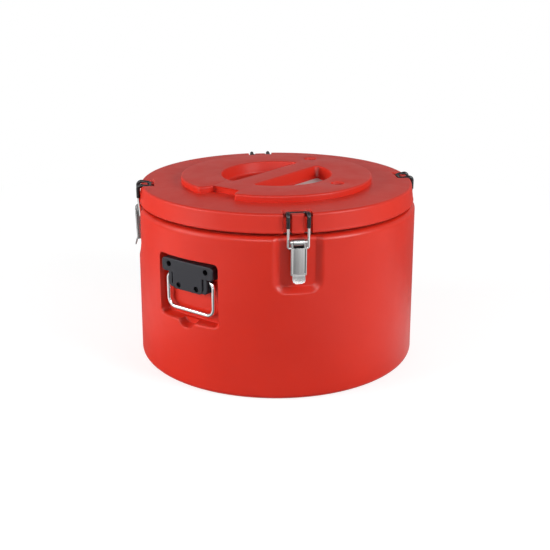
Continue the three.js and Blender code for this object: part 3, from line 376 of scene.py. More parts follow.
def remap(tree, value, low, high):
    """Spreads the middle of a noise's range from low to high."""
    inputs = {"Value": value, "From Min": 0.3, "From Max": 0.7, "To Min": low, "To Max": high}
    return add_node(tree, "ShaderNodeMapRange", inputs).outputs["Result"]


def blend_colour(tree, factor, first, second):
    inputs = {"Factor": factor, "A": (*first, 1.0), "B": (*second, 1.0)}
    return add_node(tree, "ShaderNodeMix", inputs, data_type="RGBA").outputs["Result"]


def bumps(tree, heights, strength):
    """The surface's direction, bent by each (height, distance) in turn."""
    normal = None
    for height, distance in heights:
        inputs = {"Height": height, "Distance": distance * MM, "Strength": strength}
        if normal:
            inputs["Normal"] = normal
        normal = add_node(tree, "ShaderNodeBump", inputs).outputs["Normal"]
    return normal


def principled(tree, inputs):
    shader = add_node(tree, "ShaderNodeBsdfPrincipled", inputs)
    add_node(tree, "ShaderNodeOutputMaterial", {"Surface": shader.outputs["BSDF"]})


# Materials

def moulded_plastic(name, colour, deep, rough, grain, depth, wave=0.0, gloss=0.4):
    """Moulded plastic: fine grain, slow waves of the wall, and faint shifts in tone and gloss."""
    mat, tree = new_material(name)
    heights = [(noise(tree, grain, detail=2.0), depth)]
    if wave:
        heights.append((noise(tree, 26.0, detail=1.0), wave))
    tone = remap(tree, noise(tree, 9.0, detail=4.0), 0.0, 1.0)
    principled(tree, {
        "Base Color": blend_colour(tree, tone, colour, deep),
        "Roughness": remap(tree, noise(tree, 38.0, detail=5.0, roughness=0.6), rough - 0.035, rough + 0.045),
        "Specular IOR Level": gloss,
        "Normal": bumps(tree, heights, 0.5),
    })
    return mat


def brushed_metal(name, colour, rough, stretch, depth, streak=0.05):
    """Sheet metal with fine streaks along one way, and smudges that change its gloss."""
    mat, tree = new_material(name)
    lines = noise(tree, 220.0, detail=3.0, roughness=0.6, stretch=stretch)
    darker = tuple(c * 0.86 for c in colour)
    principled(tree, {
        "Base Color": blend_colour(tree, remap(tree, lines, 0.0, 1.0), colour, darker),
        "Metallic": 1.0,
        "Roughness": remap(tree, noise(tree, 60.0, detail=4.0), rough - streak, rough + streak),
        "Normal": bumps(tree, [(lines, depth)], 0.4),
    })
    return mat


RED = (0.66, 0.025, 0.010)
RED_DEEP = (0.62, 0.022, 0.009)
red_body = moulded_plastic(
    "red_polyethylene_body", RED, RED_DEEP,
    rough=0.33, grain=1500.0, depth=0.03, wave=0.10, gloss=0.3,
)
red_lid = moulded_plastic(
    "red_polyethylene_lid", RED, RED_DEEP,
    rough=0.40, grain=1500.0, depth=0.03, wave=0.06, gloss=0.3,
)
black_plastic = moulded_plastic(
    "black_nylon", (0.022, 0.022, 0.028), (0.017, 0.017, 0.022),
    rough=0.36, grain=1800.0, depth=0.02, gloss=0.35,
)
black_sleeve = moulded_plastic(
    "black_rubber_sleeve", (0.012, 0.011, 0.013), (0.009, 0.008, 0.010),
    rough=0.26, grain=1200.0, depth=0.01,
)
white_plate = moulded_plastic(
    "white_plate", (0.78, 0.78, 0.77), (0.72, 0.72, 0.71),
    rough=0.5, grain=1200.0, depth=0.01,
)
foam = moulded_plastic(
    "insulating_foam", (0.78, 0.7, 0.48), (0.7, 0.6, 0.38),
    rough=0.9, grain=500.0, depth=0.3,
)
silicone = moulded_plastic(
    "silicone_gasket", (0.66, 0.65, 0.62), (0.6, 0.59, 0.56),
    rough=0.55, grain=900.0, depth=0.02,
)
satin_steel = brushed_metal(
    "satin_stainless", (0.64, 0.635, 0.63), rough=0.2, stretch=(1.0, 1.0, 0.06), depth=0.003,
)
wire_steel = brushed_metal(
    "stainless_wire", (0.86, 0.84, 0.83), rough=0.15, stretch=(1.0, 1.0, 0.1), depth=0.004,
)
liner_steel = brushed_metal(
    "stainless_liner", (0.60, 0.61, 0.62), rough=0.26, stretch=(1.0, 1.0, 0.05), depth=0.01,
)
chrome = brushed_metal(
    "polished_chrome", (0.96, 0.95, 0.95), rough=0.11, stretch=(1.0, 1.0, 1.0), depth=0.001, streak=0.02,
)
dark_steel = brushed_metal(
    "blackened_steel", (0.06, 0.06, 0.065), rough=0.4, stretch=(1.0, 1.0, 1.0), depth=0.01,
)


# Body

BODY_TOP = 241.5
BODY_TOP_RADIUS = 215.0
BODY_BASE_RADIUS = 218.0
BASE_EDGE_RADIUS = 9
BASE_RECESS_DEPTH = 4.0
BASE_RECESS_RADIUS = 152.0
BASE_SLOPE_WIDTH = 14.0
SHOULDER_UP = 233.5
SHOULDER_RADIUS = 8

POCKET_FLOOR = 207.0
POCKET_UP = 210.0
POCKET_HALF = (25.5, 40.0)
POCKET_CORNER = 9.0
POCKET_WALL_WIDTH = 9.2

RECESS_FLOOR = 197.0
RECESS_UP = 150.5
RECESS_HALF = (53.2, 46.6)
RECESS_CORNER = 7.5
RECESS_SIDE = 212.0
SCOOP_FLOOR = 202.5
SCOOP_UP = 111.0
SCOOP_RADIUS = 16.5

# Where the body's rows lie close: at the recesses' low ends, the pockets' low ends and the recesses' tops
FINE_HEIGHTS = ((84.0, 122.0), (158.0, 174.0), (190.0, 201.0))


def body_side(z):
    return BODY_BASE_RADIUS + (BODY_TOP_RADIUS - BODY_BASE_RADIUS) * z / BODY_TOP


def body_profile():
    """Radius, height and how far each point follows a hollow, from the underside up and into the mouth."""
    points = [(r, BASE_RECESS_DEPTH, 0) for r in (2.0, 60.0, 120.0, BASE_RECESS_RADIUS)]
    for k in range(1, 7):
        drop = BASE_RECESS_DEPTH * float(smooth_step(np.array(k / 6)))
        points.append((BASE_RECESS_RADIUS + BASE_SLOPE_WIDTH * k / 6, BASE_RECESS_DEPTH - drop, 0))
    points += [(180.0, 0.0, 0), (200.0, 0.0, 0)]
    edge_at = BODY_BASE_RADIUS - BASE_EDGE_RADIUS
    points += [(r, z, 0) for r, z in arc(edge_at, BASE_EDGE_RADIUS, BASE_EDGE_RADIUS, -90, 0, 9)]
    z = float(BASE_EDGE_RADIUS)
    while z < SHOULDER_UP - 0.6:
        fine = any(low <= z < high for low, high in FINE_HEIGHTS)
        step = 0.75 if fine else 1.5 if z >= 80.0 else 4.0
        z = min(z + step, SHOULDER_UP)
        points.append((body_side(z), z, 1))
    shoulder = arc(body_side(SHOULDER_UP) - SHOULDER_RADIUS, SHOULDER_UP, SHOULDER_RADIUS, 0, 90, 9)
    points += [(r, z, 1) for r, z in shoulder[1:]]
    points += [(206.0, BODY_TOP, 0.8), (203.0, BODY_TOP, 0.4), (199.0, BODY_TOP, 0), (181.8, BODY_TOP, 0)]
    points += [(181.8, 230.0, 0)]
    return np.array(points)


def wall_share(edge, width, foot, rim):
    """One on a pocket's floor and zero beyond its wall: a straight wall with a rounded foot and rim."""
    return 1 - soft_min(soft_max(edge / width, 0.0, foot), 1.0, rim)


def rounded_mouth(edge, radius, full):
    """Depth of the round that leads from the body's outer face over into a pocket's wall."""
    reach = np.clip(radius - edge, 0.0, radius)
    return np.where(edge < radius, np.minimum(radius - np.sqrt(radius ** 2 - reach ** 2), full), 0.0)


def latch_pocket_depth(across, up, side, cosine):
    """How deep the latch pocket is, from the side's radius: a flat floor and sloping sides."""
    full = np.maximum(side - POCKET_FLOOR / cosine, 0)
    edge = box_distance(across, up - POCKET_UP, *POCKET_HALF, POCKET_CORNER)
    return full * wall_share(edge - 0.8, POCKET_WALL_WIDTH, foot=0.01, rim=0.2)


def handle_recess_depth(across, up, side, cosine):
    """How deep the handle recess and its finger scoop are. The recess's mouth is rounder at its low side."""
    full = np.maximum(side - RECESS_FLOOR / cosine, 0)
    edge = box_distance(across, up - RECESS_UP, *RECESS_HALF, RECESS_CORNER)
    mouth = 1.2 + 2.8 * smooth_step((118.0 - up) / 12.0)
    wall = full * wall_share(edge + 0.9, width=1.4, foot=0.3, rim=0.1)
    recess = np.maximum(wall, rounded_mouth(edge - 0.2, mouth, full))
    scoop_full = np.maximum(side - SCOOP_FLOOR / cosine, 0)
    scoop_edge = np.hypot(across, up - SCOOP_UP) - SCOOP_RADIUS
    scoop_wall = scoop_full * wall_share(scoop_edge + 1.5, width=2.2, foot=0.5, rim=0.1)
    scoop = np.maximum(scoop_wall, rounded_mouth(scoop_edge, 3.2, scoop_full))
    return soft_max(recess, scoop, 0.01 + 1.5 * smooth_step(np.minimum(recess, scoop) / 1.5))


def outer_shell():
    profile = body_profile()
    spans = [(a, 11.5, 0.4) for a in CORNERS.values()] + [(a, 18.0, 0.2) for a in SIDES.values()]
    theta = columns_with(spans, coarse=1.5)
    r = np.repeat(profile[:, 0:1], theta.size, axis=1)
    z = np.repeat(profile[:, 1:2], theta.size, axis=1)
    follows = profile[:, 2:3]
    side = body_side(z)
    depth = np.zeros_like(r)
    hollows = [(a, 14, side, latch_pocket_depth) for a in CORNERS.values()]
    hollows += [(a, 20, RECESS_SIDE, handle_recess_depth) for a in SIDES.values()]
    for angle, reach, radius, hollow_depth in hollows:
        off = angle_from(theta, angle)
        near = np.abs(off) < math.radians(reach)
        across = radius * np.sin(np.where(near, off, 1.0))
        found = hollow_depth(across, z, side, np.cos(np.where(near, off, 0)))
        depth = np.maximum(depth, np.where(near, found, 0))
    build = Build().turned_grid(r - depth * follows, theta, z)
    build.add([(0, 0, BASE_RECESS_DEPTH)], [])
    centre = len(build.points) - 1
    build.faces += [((i + 1) % theta.size, i, centre) for i in range(theta.size)]
    obj = build.to_object("outer_shell_visual", red_body, sharp=34.0)
    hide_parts("outer_shell")
    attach(obj, "container")


def inner_liner():
    """A thin pot: its inner face up to the flange on the shell's rim, then its outer face down."""
    flange_top = 243.0
    profile = [(0.5, 34.0)] + arc(162.0, 48.0, 14.0, -90, 0, 10)
    profile += [(176.0 + 4.0 * k / 6, 48.0 + 190.0 * k / 6) for k in range(1, 7)]
    profile += arc(182.0, 241.2, 2.0, 180, 90, 5)
    profile += [(196.5, 243.2)] + arc(196.8, 242.6, 0.6, 90, -90, 5) + [(181.6, 241.9), (181.4, 238.0)]
    profile += [(177.4, 48.0)] + arc(162.0, 48.0, 15.2, 0, -90, 8) + [(0.5, 32.8)]
    profile = [(r, min(z, flange_top)) for r, z in profile]
    obj = Build().revolve(profile).to_object("inner_liner_visual", liner_steel, sharp=50.0)
    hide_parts("inner_liner")
    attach(obj, "container")


def insulation():
    """The foam inside the body and the lid keeps its CAD shape and gets a material."""
    for hidden in ("body_insulation", "lid_insulation"):
        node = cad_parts[hidden]
        node.data.materials.clear()
        node.data.materials.append(foam)


# Lid

LID_LOW = 245.5
LID_TOP = 272.9
LID_LOW_RADIUS = 212.4
LID_TOP_RADIUS = 208.6
LID_EDGE_RADIUS = 4.0

STRIKE_FLOOR = 266.7
STRIKE_SEAT = 266.9
STRIKE_BACK = 190.6
STRIKE_HALF = 19.0
STRIKE_WALL_WIDTH = 2.4
STRIKE_WALL_HEIGHT = 9.0
SEAT_HALF = 9.2
LIP_FOOT = 197.2
LIP_HEIGHT = 4.6
GROOVE_FLOOR = 203.6
GROOVE_HALF = 5.4
LEG_ACROSS = 14.2

DISC_TOP = 282.5
DISC_RADIUS = 147.3
DISC_EDGE_RADIUS = 3.0
NOTCH_FLOOR = 119.7
NOTCH_FLOOR_HALF = 20.6
NOTCH_MOUTH_HALF = 32.6

GRIP_RADIUS = 85.0
GRIP_BAR_HALF = 18.8
GRIP_FLOOR = DISC_TOP - 18.6
GRIP_RIM_RADIUS = 2.4
GRIP_FOOT_RADIUS = 4.5

# Where the filling plugs sit, and their dimples' radii and depths
PLUGS = {"lid_front_filling_plug": (0.0, -113.5), "lid_side_filling_plug": (118.5, 18.8)}
DIMPLE = ((10.8, 0.0), (10.4, 0.12), (10.1, 0.5), (9.9, 1.4), (9.6, 5.0), (9.1, 6.0), (8.0, 6.4), (0.2, 6.4))


def lid_side(z):
    return LID_LOW_RADIUS + (LID_TOP_RADIUS - LID_LOW_RADIUS) * (z - LID_LOW) / (LID_TOP - LID_LOW)


def lid_profile():
    """Radius, height and whether each point follows a strike, from the skirt's inside to under the disc."""
    points = [(202.2, 248.9, 0), (202.2, 246.2, 0), (202.8, LID_LOW, 0), (206.0, LID_LOW, 1)]
    points += [(r, z, 1) for r, z in arc(210.2, 247.7, 2.2, -90, 0, 5)]
    points += [(lid_side(z), z, 1) for z in np.arange(249.0, 266.1, 1.7)]
    points += [(lid_side(z), z, 1) for z in np.arange(266.8, 268.6, 0.7)]
    edge_up = LID_TOP - LID_EDGE_RADIUS
    edge = arc(lid_side(edge_up) - LID_EDGE_RADIUS, edge_up, LID_EDGE_RADIUS, 0, 90, 12)
    points += [(r, z, 1) for r, z in edge]
    points += [(r, LID_TOP, 1) for r in np.arange(204.4, 186.0, -0.7)]
    points += [(r, LID_TOP, 1) for r in (184.0, 180.0, 172.0, 160.0, 150.0, 146.0, 130.0, 112.0)]
    return np.array(points)


def strike_floor(across, outward):
    """Height of a strike pocket's floor, with the lip that holds the hook, and the walls round it."""
    seat = 1 - smooth_step((np.abs(across) - SEAT_HALF) / 1.4)
    lip = smooth_step((outward - LIP_FOOT) / 2.6) * LIP_HEIGHT
    wall = smooth_step((np.abs(across) - STRIKE_HALF) / STRIKE_WALL_WIDTH) * STRIKE_WALL_HEIGHT
    back = smooth_step((STRIKE_BACK - outward) / 2.6) * STRIKE_WALL_HEIGHT
    return STRIKE_FLOOR + (STRIKE_SEAT - STRIKE_FLOOR + lip) * seat + np.maximum(wall, back)


def lid_crown():
    """The lid's skirt, side and flat edge, with the strike pocket and the two grooves at each latch."""
    profile = lid_profile()
    theta = columns_with([(a, 6.8, 0.1) for a in CORNERS.values()], coarse=1.5)
    r = np.repeat(profile[:, 0:1], theta.size, axis=1)
    z = np.repeat(profile[:, 1:2], theta.size, axis=1)
    follows = profile[:, 2:3] > 0
    for angle in CORNERS.values():
        off = angle_from(theta, angle)
        near = (np.abs(off) < math.radians(10)) & follows
        off = np.where(near, off, 0)
        across = r * np.sin(off)
        floor = strike_floor(across, r * np.cos(off))
        sunk = np.where(z > floor - 2.0, soft_min(z, floor, 0.9), z)
        z = np.where((z > 262.0) & near, sunk, z)
        groove = 1 - smooth_step((np.abs(np.abs(across) - LEG_ACROSS) - GROOVE_HALF) / 0.5)
        cut = np.minimum(r, soft_min(r, GROOVE_FLOOR / np.cos(off), 0.4))
        r = np.where(near & (groove > 0), r + (cut - r) * groove, r)
    return Build().turned_grid(r, theta, z)


def notched_outline(inset):
    """The disc's outline, pulled in by an inset, with a notch whose sides are S-shaped."""
    floor_at = NOTCH_FLOOR + inset
    radius = DISC_RADIUS - inset
    floor_half = NOTCH_FLOOR_HALF + inset
    mouth_half = NOTCH_MOUTH_HALF + inset
    half_angle = math.degrees(math.asin(mouth_half / radius))
    mouth_x = -radius * math.cos(math.radians(half_angle))
    lip_angle = half_angle + 1.8
    lip = math.radians(lip_angle)
    start = (-radius * math.cos(lip), radius * math.sin(lip))
    pull = 5.5
    leaving = (start[0] - pull * math.sin(lip), start[1] - pull * math.cos(lip))
    middle = ((mouth_x - floor_at) / 2 - 1.0, (mouth_half + floor_half) / 2)
    upper = cubic(start, leaving, (middle[0] - 6.0, middle[1] + 3.0), middle, 12)[1:]
    upper += cubic(
        middle, (middle[0] + 6.5, middle[1] - 3.2), (-floor_at, floor_half + 6.0),
        (-floor_at, floor_half - 3.0), 12,
    )[1:]
    floor = [(-floor_at, (floor_half - 3.0) * (1 - k / 6)) for k in range(1, 12)]
    lower = [(x, -y) for x, y in reversed(upper)]
    return arc(0, 0, radius, 180 + lip_angle, 540 - lip_angle, 160) + upper + floor + lower


def grip_outline(inset, rear):
    """A circle's segment beside the grip bar, with round corners, pulled in by an inset."""
    radius = GRIP_RADIUS - inset
    corner = max(6.0 - inset * 0.35, 2.0)
    up = GRIP_BAR_HALF + inset + corner
    out = math.sqrt((radius - corner) ** 2 - up ** 2)
    tangent = math.degrees(math.atan2(up, out))
    points = arc(out, up, corner, -90, tangent, 8)
    points += arc(0, 0, radius, tangent, 180 - tangent, 64)[1:-1]
    points += arc(-out, up, corner, 180 - tangent, 270, 8)
    return points if rear else [(-x, -y) for x, y in points]


def disc_edge():
    """Rings from the flat of the lid up the disc's edge to its top."""
    levels = [(0.0, LID_TOP - 1.5), (0.0, DISC_TOP - DISC_EDGE_RADIUS)]
    for a in QUARTER:
        inset = DISC_EDGE_RADIUS - DISC_EDGE_RADIUS * math.cos(a)
        levels.append((inset, DISC_TOP - DISC_EDGE_RADIUS + DISC_EDGE_RADIUS * math.sin(a)))
    return [[(x, y, z) for x, y in notched_outline(inset)] for inset, z in levels]


def grip_walls(rear):
    """Rings from a finger recess's rounded rim down its wall and round its foot to the floor."""
    rim, foot = GRIP_RIM_RADIUS, GRIP_FOOT_RADIUS
    wall_top = DISC_TOP - rim
    levels = [(-rim + rim * math.sin(a), wall_top + rim * math.cos(a)) for a in [0.0] + QUARTER]
    fall = GRIP_FLOOR + foot - DISC_TOP + rim
    levels += [(rim * k / 4, wall_top + fall * k / 4) for k in range(1, 5)]
    levels += [(rim + foot * (1 - math.cos(a)), GRIP_FLOOR + foot - foot * math.sin(a)) for a in QUARTER]
    return [[(x, y, z) for x, y in grip_outline(inset, rear)] for inset, z in levels]


def dimple_walls(at):
    """Rings from the disc's top down into a filling plug's dimple."""
    angles = round_angles(40)
    return [[(at[0] + r * math.cos(a), at[1] + r * math.sin(a), DISC_TOP - depth) for a in angles]
            for r, depth in DIMPLE]


def lid_shell():
    build = lid_crown()
    edge = disc_edge()
    build.rings(edge, cap_start=False, cap_end=False)
    loops = [edge[-1]]
    for walls in (grip_walls(True), grip_walls(False), *map(dimple_walls, PLUGS.values())):
        build.rings(walls, cap_start=False, cap_end=True)
        loops.append(walls[0])
    obj = build.flat_fill(loops).to_object("lid_shell_visual", red_lid, sharp=48.0)
    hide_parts("lid_shell")
    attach(obj, "lid")


def lid_liner():
    """A shallow pan whose brim lies under the skirt: its lower face out, then its upper face in."""
    pan = [(0.5, 234.0)] + arc(168.5, 240.0, 6.0, -90, 0, 8) + [(176.0, 247.3)]
    pan += [(201.4, 247.3)] + arc(201.2, 248.0, 0.6, -90, 90, 4) + [(174.6, 248.7), (173.2, 240.2)]
    pan += arc(168.5, 240.0, 4.6, 0, -90, 6) + [(0.5, 235.4)]
    obj = Build().revolve(pan).to_object("lid_liner_visual", liner_steel, sharp=50.0)
    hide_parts("lid_liner")
    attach(obj, "lid")


def lid_gasket():
    band = [(182.0, 247.0), (182.0, 245.3), (183.0, 244.2), (184.6, 243.4), (188.5, 243.3)]
    band += [(192.4, 243.4), (194.0, 244.2), (195.0, 245.3), (195.0, 247.0), (182.0, 247.0)]
    obj = Build().revolve(band).to_object("lid_gasket_visual", silicone, sharp=50.0)
    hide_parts("lid_gasket")
    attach(obj, "lid")


def filling_plugs():
    top = DISC_TOP - 4.2
    profile = [(0.1, top - 4.5), (2.8, top - 4.5), (2.8, top)] + arc(4.2, top + 0.6, 0.8, -90, 90, 5)
    profile += [(2.4, top + 1.4), (2.0, top + 1.1), (0.1, top + 1.1)]
    for name, at in PLUGS.items():
        plug = Build().revolve(profile, 40, at).to_object(name + "_visual", red_lid, sharp=50.0)
        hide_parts(name)
        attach(plug, "lid")


def recess_plate():
    """A blank white plate on the floor of the front finger recess."""
    levels = [(0.0, GRIP_FLOOR + 0.05), (0.0, GRIP_FLOOR + 0.7), (0.35, GRIP_FLOOR + 0.95)]
    rings = [[(x, y, z) for x, y in grip_outline(7.6 + inset, False)] for inset, z in levels]
    obj = Build().rings(rings).to_object("recess_plate", white_plate, sharp=50.0)
    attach(obj, "lid")


# Latches, each made at the front and turned to its place

HINGE = (214.5, 234.0)
PIVOT = (211.5, 225.0)
BASE_BACK = 207.3
BASE_LOW = 185.6
BASE_HALF = 9.2
BASE_SHEET = 1.5
ROLL_RADII = (4.9, 3.6)

LEVER_FACE = 219.6
LEVER_TOP = 227.0
LEVER_LOW = 188.0
LEVER_HALF = 11.2
LEVER_SHEET = 1.2
LEVER_BEND = 1.7
LEVER_TAPER = 1.2
TAB_HALF = 9.0
TAB_CORNER = 5.0
TAB_LENGTH = 14.0

BAIL_RADIUS = 2.0
SLEEVE_RADIUS = 2.9
SLEEVE_THINNING = 0.55
SLEEVE_FROM = 253.1
LEG_OUT = 213.5
BEND_UP = 273.1
BAR_OUT = 195.1
BAR_UP = 269.7
BAIL_BEND = 5
BAIL_END_BEND = 2.4


def latch_base():
    """A back plate with two side walls, and a top edge rolled round the hinge pin."""
    back, half = BASE_BACK, BASE_HALF
    wall_top = back + 9.6
    sheet = [(back, BASE_LOW), (back + BASE_SHEET, BASE_LOW), (back + BASE_SHEET, 233.0), (back, 233.0)]
    build = Build().plate(sheet, -half, half)
    side = rounded_polygon(
        [(back + 0.2, BASE_LOW), (back + 1.6, BASE_LOW), (wall_top, BASE_LOW + 3.4), (wall_top, 237.2),
         (back + 0.2, 237.2)],
        [0.3, 0.6, 1.5, 2.8, 1.0],
    )
    for sign in (-1, 1):
        build.plate(side, *sorted((sign * (half - BASE_SHEET), sign * half)))
    outer, inner = ROLL_RADII
    roll = [(back, 229.0)] + arc(*HINGE, outer, -95, 215, 32) + arc(*HINGE, inner, 215, -95, 32)
    build.plate(roll + [(back, 230.3)], -7.4, 7.4)
    return bevel(build.to_object("latch_base", satin_steel), 0.22)


def lever_section(face):
    """The lever's cross section: a face that is faintly raised in its middle, between two folded edges."""
    half, sheet, bend = LEVER_HALF, LEVER_SHEET, LEVER_BEND
    outer = [(-half, face - 3.2)] + arc(-half + bend, face - bend, bend, 180, 90, 5)
    outer += [(-half + bend + 0.5, face - 0.12), (-half + bend + 1.0, face - 0.3)]
    outer += [(x, face - 0.3 + 0.28 * (1 - (x / 8.5) ** 2)) for x in (-7.4, -5, -2.5, 0, 2.5, 5, 7.4)]
    outer += [(half - bend - 1.0, face - 0.3), (half - bend - 0.5, face - 0.12)]
    outer += arc(half - bend, face - bend, bend, 90, 0, 5) + [(half, face - 3.2)]
    inner = [(half - sheet, face - 3.2)] + arc(half - bend, face - bend, bend - sheet, 0, 90, 3)
    inner += arc(-half + bend, face - bend, bend - sheet, 90, 180, 3) + [(-half + sheet, face - 3.2)]
    return outer + inner


def lever_flange():
    """A flange's outline: round the hinge, round the bail's pivot, and tapering to the finger tab."""
    outline = [(LEVER_FACE - LEVER_TAPER - LEVER_BEND, LEVER_LOW), (LEVER_FACE - LEVER_BEND, LEVER_TOP)]
    outline += arc(*HINGE, 4.2, 0, 180, 16) + arc(*PIVOT, 3.7, 180, 270, 8)
    return outline + [(LEVER_FACE - 5.6, 212.2), (LEVER_FACE - 6.8, 190.4), (LEVER_FACE - 4.9, LEVER_LOW)]


def finger_tab():
    """Rings of the tab below the lever, which kicks outward and ends in round corners."""
    rings = []
    for k in range(9):
        u = k / 8
        up = LEVER_LOW + 3.0 - TAB_LENGTH * u
        face = LEVER_FACE - LEVER_TAPER + 3.4 * max(0.0, u - 0.2) ** 1.3 / 0.8 ** 1.3 * 0.98
        drop = max(0.0, (LEVER_LOW - 6.0) - up)
        half = TAB_HALF - (TAB_CORNER - math.sqrt(max(TAB_CORNER ** 2 - drop * drop, 0.0)))
        if k == 0:
            half = 9.4
        outer = [(x, face) for x in (-half, -half * 0.5, 0, half * 0.5, half)]
        section = [(-half, face - 1.1)] + outer + [(half, face - 1.1), (0, face - 1.1)]
        rings.append([place(x, n, up) for x, n in section])
    return rings


def latch_lever():
    build = Build()
    taper = (
        (LEVER_LOW, LEVER_TAPER), (LEVER_LOW + 8, 0.95), (208.0, 0.5), (LEVER_TOP - 3, 0.1), (LEVER_TOP, 0.1),
    )
    build.rings([[place(x, n, up) for x, n in lever_section(LEVER_FACE - back)] for up, back in taper])
    for sign in (-1, 1):
        build.plate(lever_flange(), *sorted((sign * (LEVER_HALF - LEVER_SHEET), sign * LEVER_HALF)))
    build.rings(finger_tab())
    return bevel(build.to_object("latch_lever", satin_steel), 0.25)


def latch_pin():
    return Build().rod(*HINGE, [
        (2.2, -11.9), (2.6, -11.75), (2.6, -11.5), (1.6, -11.48), (1.6, 11.48), (2.6, 11.5), (2.6, 11.75),
        (2.2, 11.9),
    ]).to_object("latch_pin", satin_steel)


def hook(side, start_up):
    """Corners of the bail's hook on one side, from a leg up and in to the cross bar."""
    return [
        place(side * LEG_ACROSS, LEG_OUT, start_up), place(side * LEG_ACROSS, LEG_OUT, BEND_UP),
        place(side * LEG_ACROSS, BAR_OUT, BAR_UP),
    ]


def latch_bail():
    def half_bail(side):
        return [place(side * 9.7, *PIVOT), place(side * LEG_ACROSS, *PIVOT)] + hook(side, SLEEVE_FROM)

    corners = half_bail(-1) + half_bail(1)[::-1]
    radii = [0, BAIL_END_BEND] + [BAIL_BEND] * 6 + [BAIL_END_BEND, 0]
    path = rounded_path(corners, radii, 10)
    return Build().tube(path, BAIL_RADIUS, facets=20).to_object("latch_bail", wire_steel)


def bail_sleeve():
    """The sleeve over the hook, thinner along the cross bar."""
    corners = hook(-1, SLEEVE_FROM + 0.5) + hook(1, SLEEVE_FROM + 0.5)[::-1]
    path = rounded_path(corners, [0] + [BAIL_BEND] * 4 + [0], 12)
    inner = [float(smooth_step(np.array((LEG_ACROSS - 3.0 - abs(p.x)) / 3.0))) for p in path]
    build = Build().tube(path, SLEEVE_RADIUS, 24, [-SLEEVE_THINNING * share for share in inner])
    return bevel(build.to_object("bail_sleeve", black_sleeve), 0.3)


def latch_rivet(up):
    levels = ((2.0, 0.4), (3.4, 1.8), (3.35, 2.1), (3.0, 2.6), (2.3, 3.05), (1.3, 3.25), (0.3, 3.3))
    build = Build().stud(0, up, [(r, BASE_BACK + rise) for r, rise in levels])
    return build.to_object("latch_rivet", satin_steel)


def latches():
    makers = {
        "base": (latch_base, "container"),
        "lever": (latch_lever, "{}_latch_lever"),
        "hinge_pin": (latch_pin, "container"),
        "bail": (latch_bail, "{}_latch_bail"),
        "bail_sleeve": (bail_sleeve, "{}_latch_bail"),
        "upper_rivet": (lambda: latch_rivet(215.5), "container"),
        "lower_rivet": (lambda: latch_rivet(197.5), "container"),
    }
    for corner, angle in CORNERS.items():
        for piece, (make, body) in makers.items():
            node = f"{corner}_latch_{piece}"
            obj = turn(make(), angle)
            obj.name = node + "_visual"
            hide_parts(node)
            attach(obj, body.format(corner))


# Handles, each made at the front and turned to its place

BRACKET_BACK = 197.3
BRACKET_FACE = BRACKET_BACK + 14.4
BRACKET_TOP = 191.5
BRACKET_HALF = 48
BAR_HEIGHT = 20
PANEL_LOW = 147.5
PANEL_HALF = 28.2
EAR_HALF = 38.5
HUB_HALF = 36.5
SOCKET_END = 24.6
SLOT_WIDTH = 2.0
SLOT_DEPTH = 4.5
SLOT_UP = (154.0, 171.3)

HANDLE_PIVOT = (204.0, 167.3)
HANDLE_RADIUS = 3.0
HANDLE_HALF = 42.7
HANDLE_DROP = 51.5
HANDLE_BENDS = (9, 13)

# Each screw's place across, its height, and the CAD bracket's face there
SCREWS = {
    "upper_left": (-34.5, 183.0, BRACKET_BACK + 9.0),
    "lower_left": (-16.7, 154.1, BRACKET_BACK + 14.5),
    "upper_right": (34.5, 183.0, BRACKET_BACK + 9.0),
    "lower_right": (16.7, 154.1, BRACKET_BACK + 14.5),
}


def stepped_block(outline, front, edge):
    """A block on the bracket's back plane with a rounded front edge, from its outline at any inset."""
    levels = [(0.4, BRACKET_BACK), (0.0, BRACKET_BACK + 0.4), (0.0, front - edge)]
    for k in range(1, 5):
        a = math.radians(90 * k / 4)
        levels.append((edge * (1 - math.cos(a)), front - edge + edge * math.sin(a)))
    return Build().rings([[place(x, n, z) for x, z in outline(inset)] for inset, n in levels])


def bracket_outline(inset):
    """A bar with round corners and the panel that hangs from it, with round low corners."""
    bar_half, bar_low, top = BRACKET_HALF - inset, BRACKET_TOP - BAR_HEIGHT + inset, BRACKET_TOP - inset
    half, low = PANEL_HALF - inset, PANEL_LOW + inset
    end, corner, nook = 5.5 - inset, 7.0 - inset, 1.2 + inset
    points = arc(bar_half - end, bar_low + end, end, -90, 0, 10)
    points += arc(bar_half - end, top - end, end, 0, 90, 10)
    points += arc(-bar_half + end, top - end, end, 90, 180, 10)
    points += arc(-bar_half + end, bar_low + end, end, 180, 270, 10)
    points += arc(-half - nook, bar_low - nook, nook, 90, 0, 4)
    points += arc(-half + corner, low + corner, corner, 180, 270, 8)
    points += arc(half - corner, low + corner, corner, 270, 360, 8)
    points += arc(half + nook, bar_low - nook, nook, 180, 90, 4)
    return points


def low_block(half, low, height, corner):
    """The outline of an even block as a function of an inset."""
    def outline(inset):
        return rounded_rectangle(
            -half + inset, low + inset, 2 * (half - inset), height - 2 * inset, corner - inset,
        )
    return outline


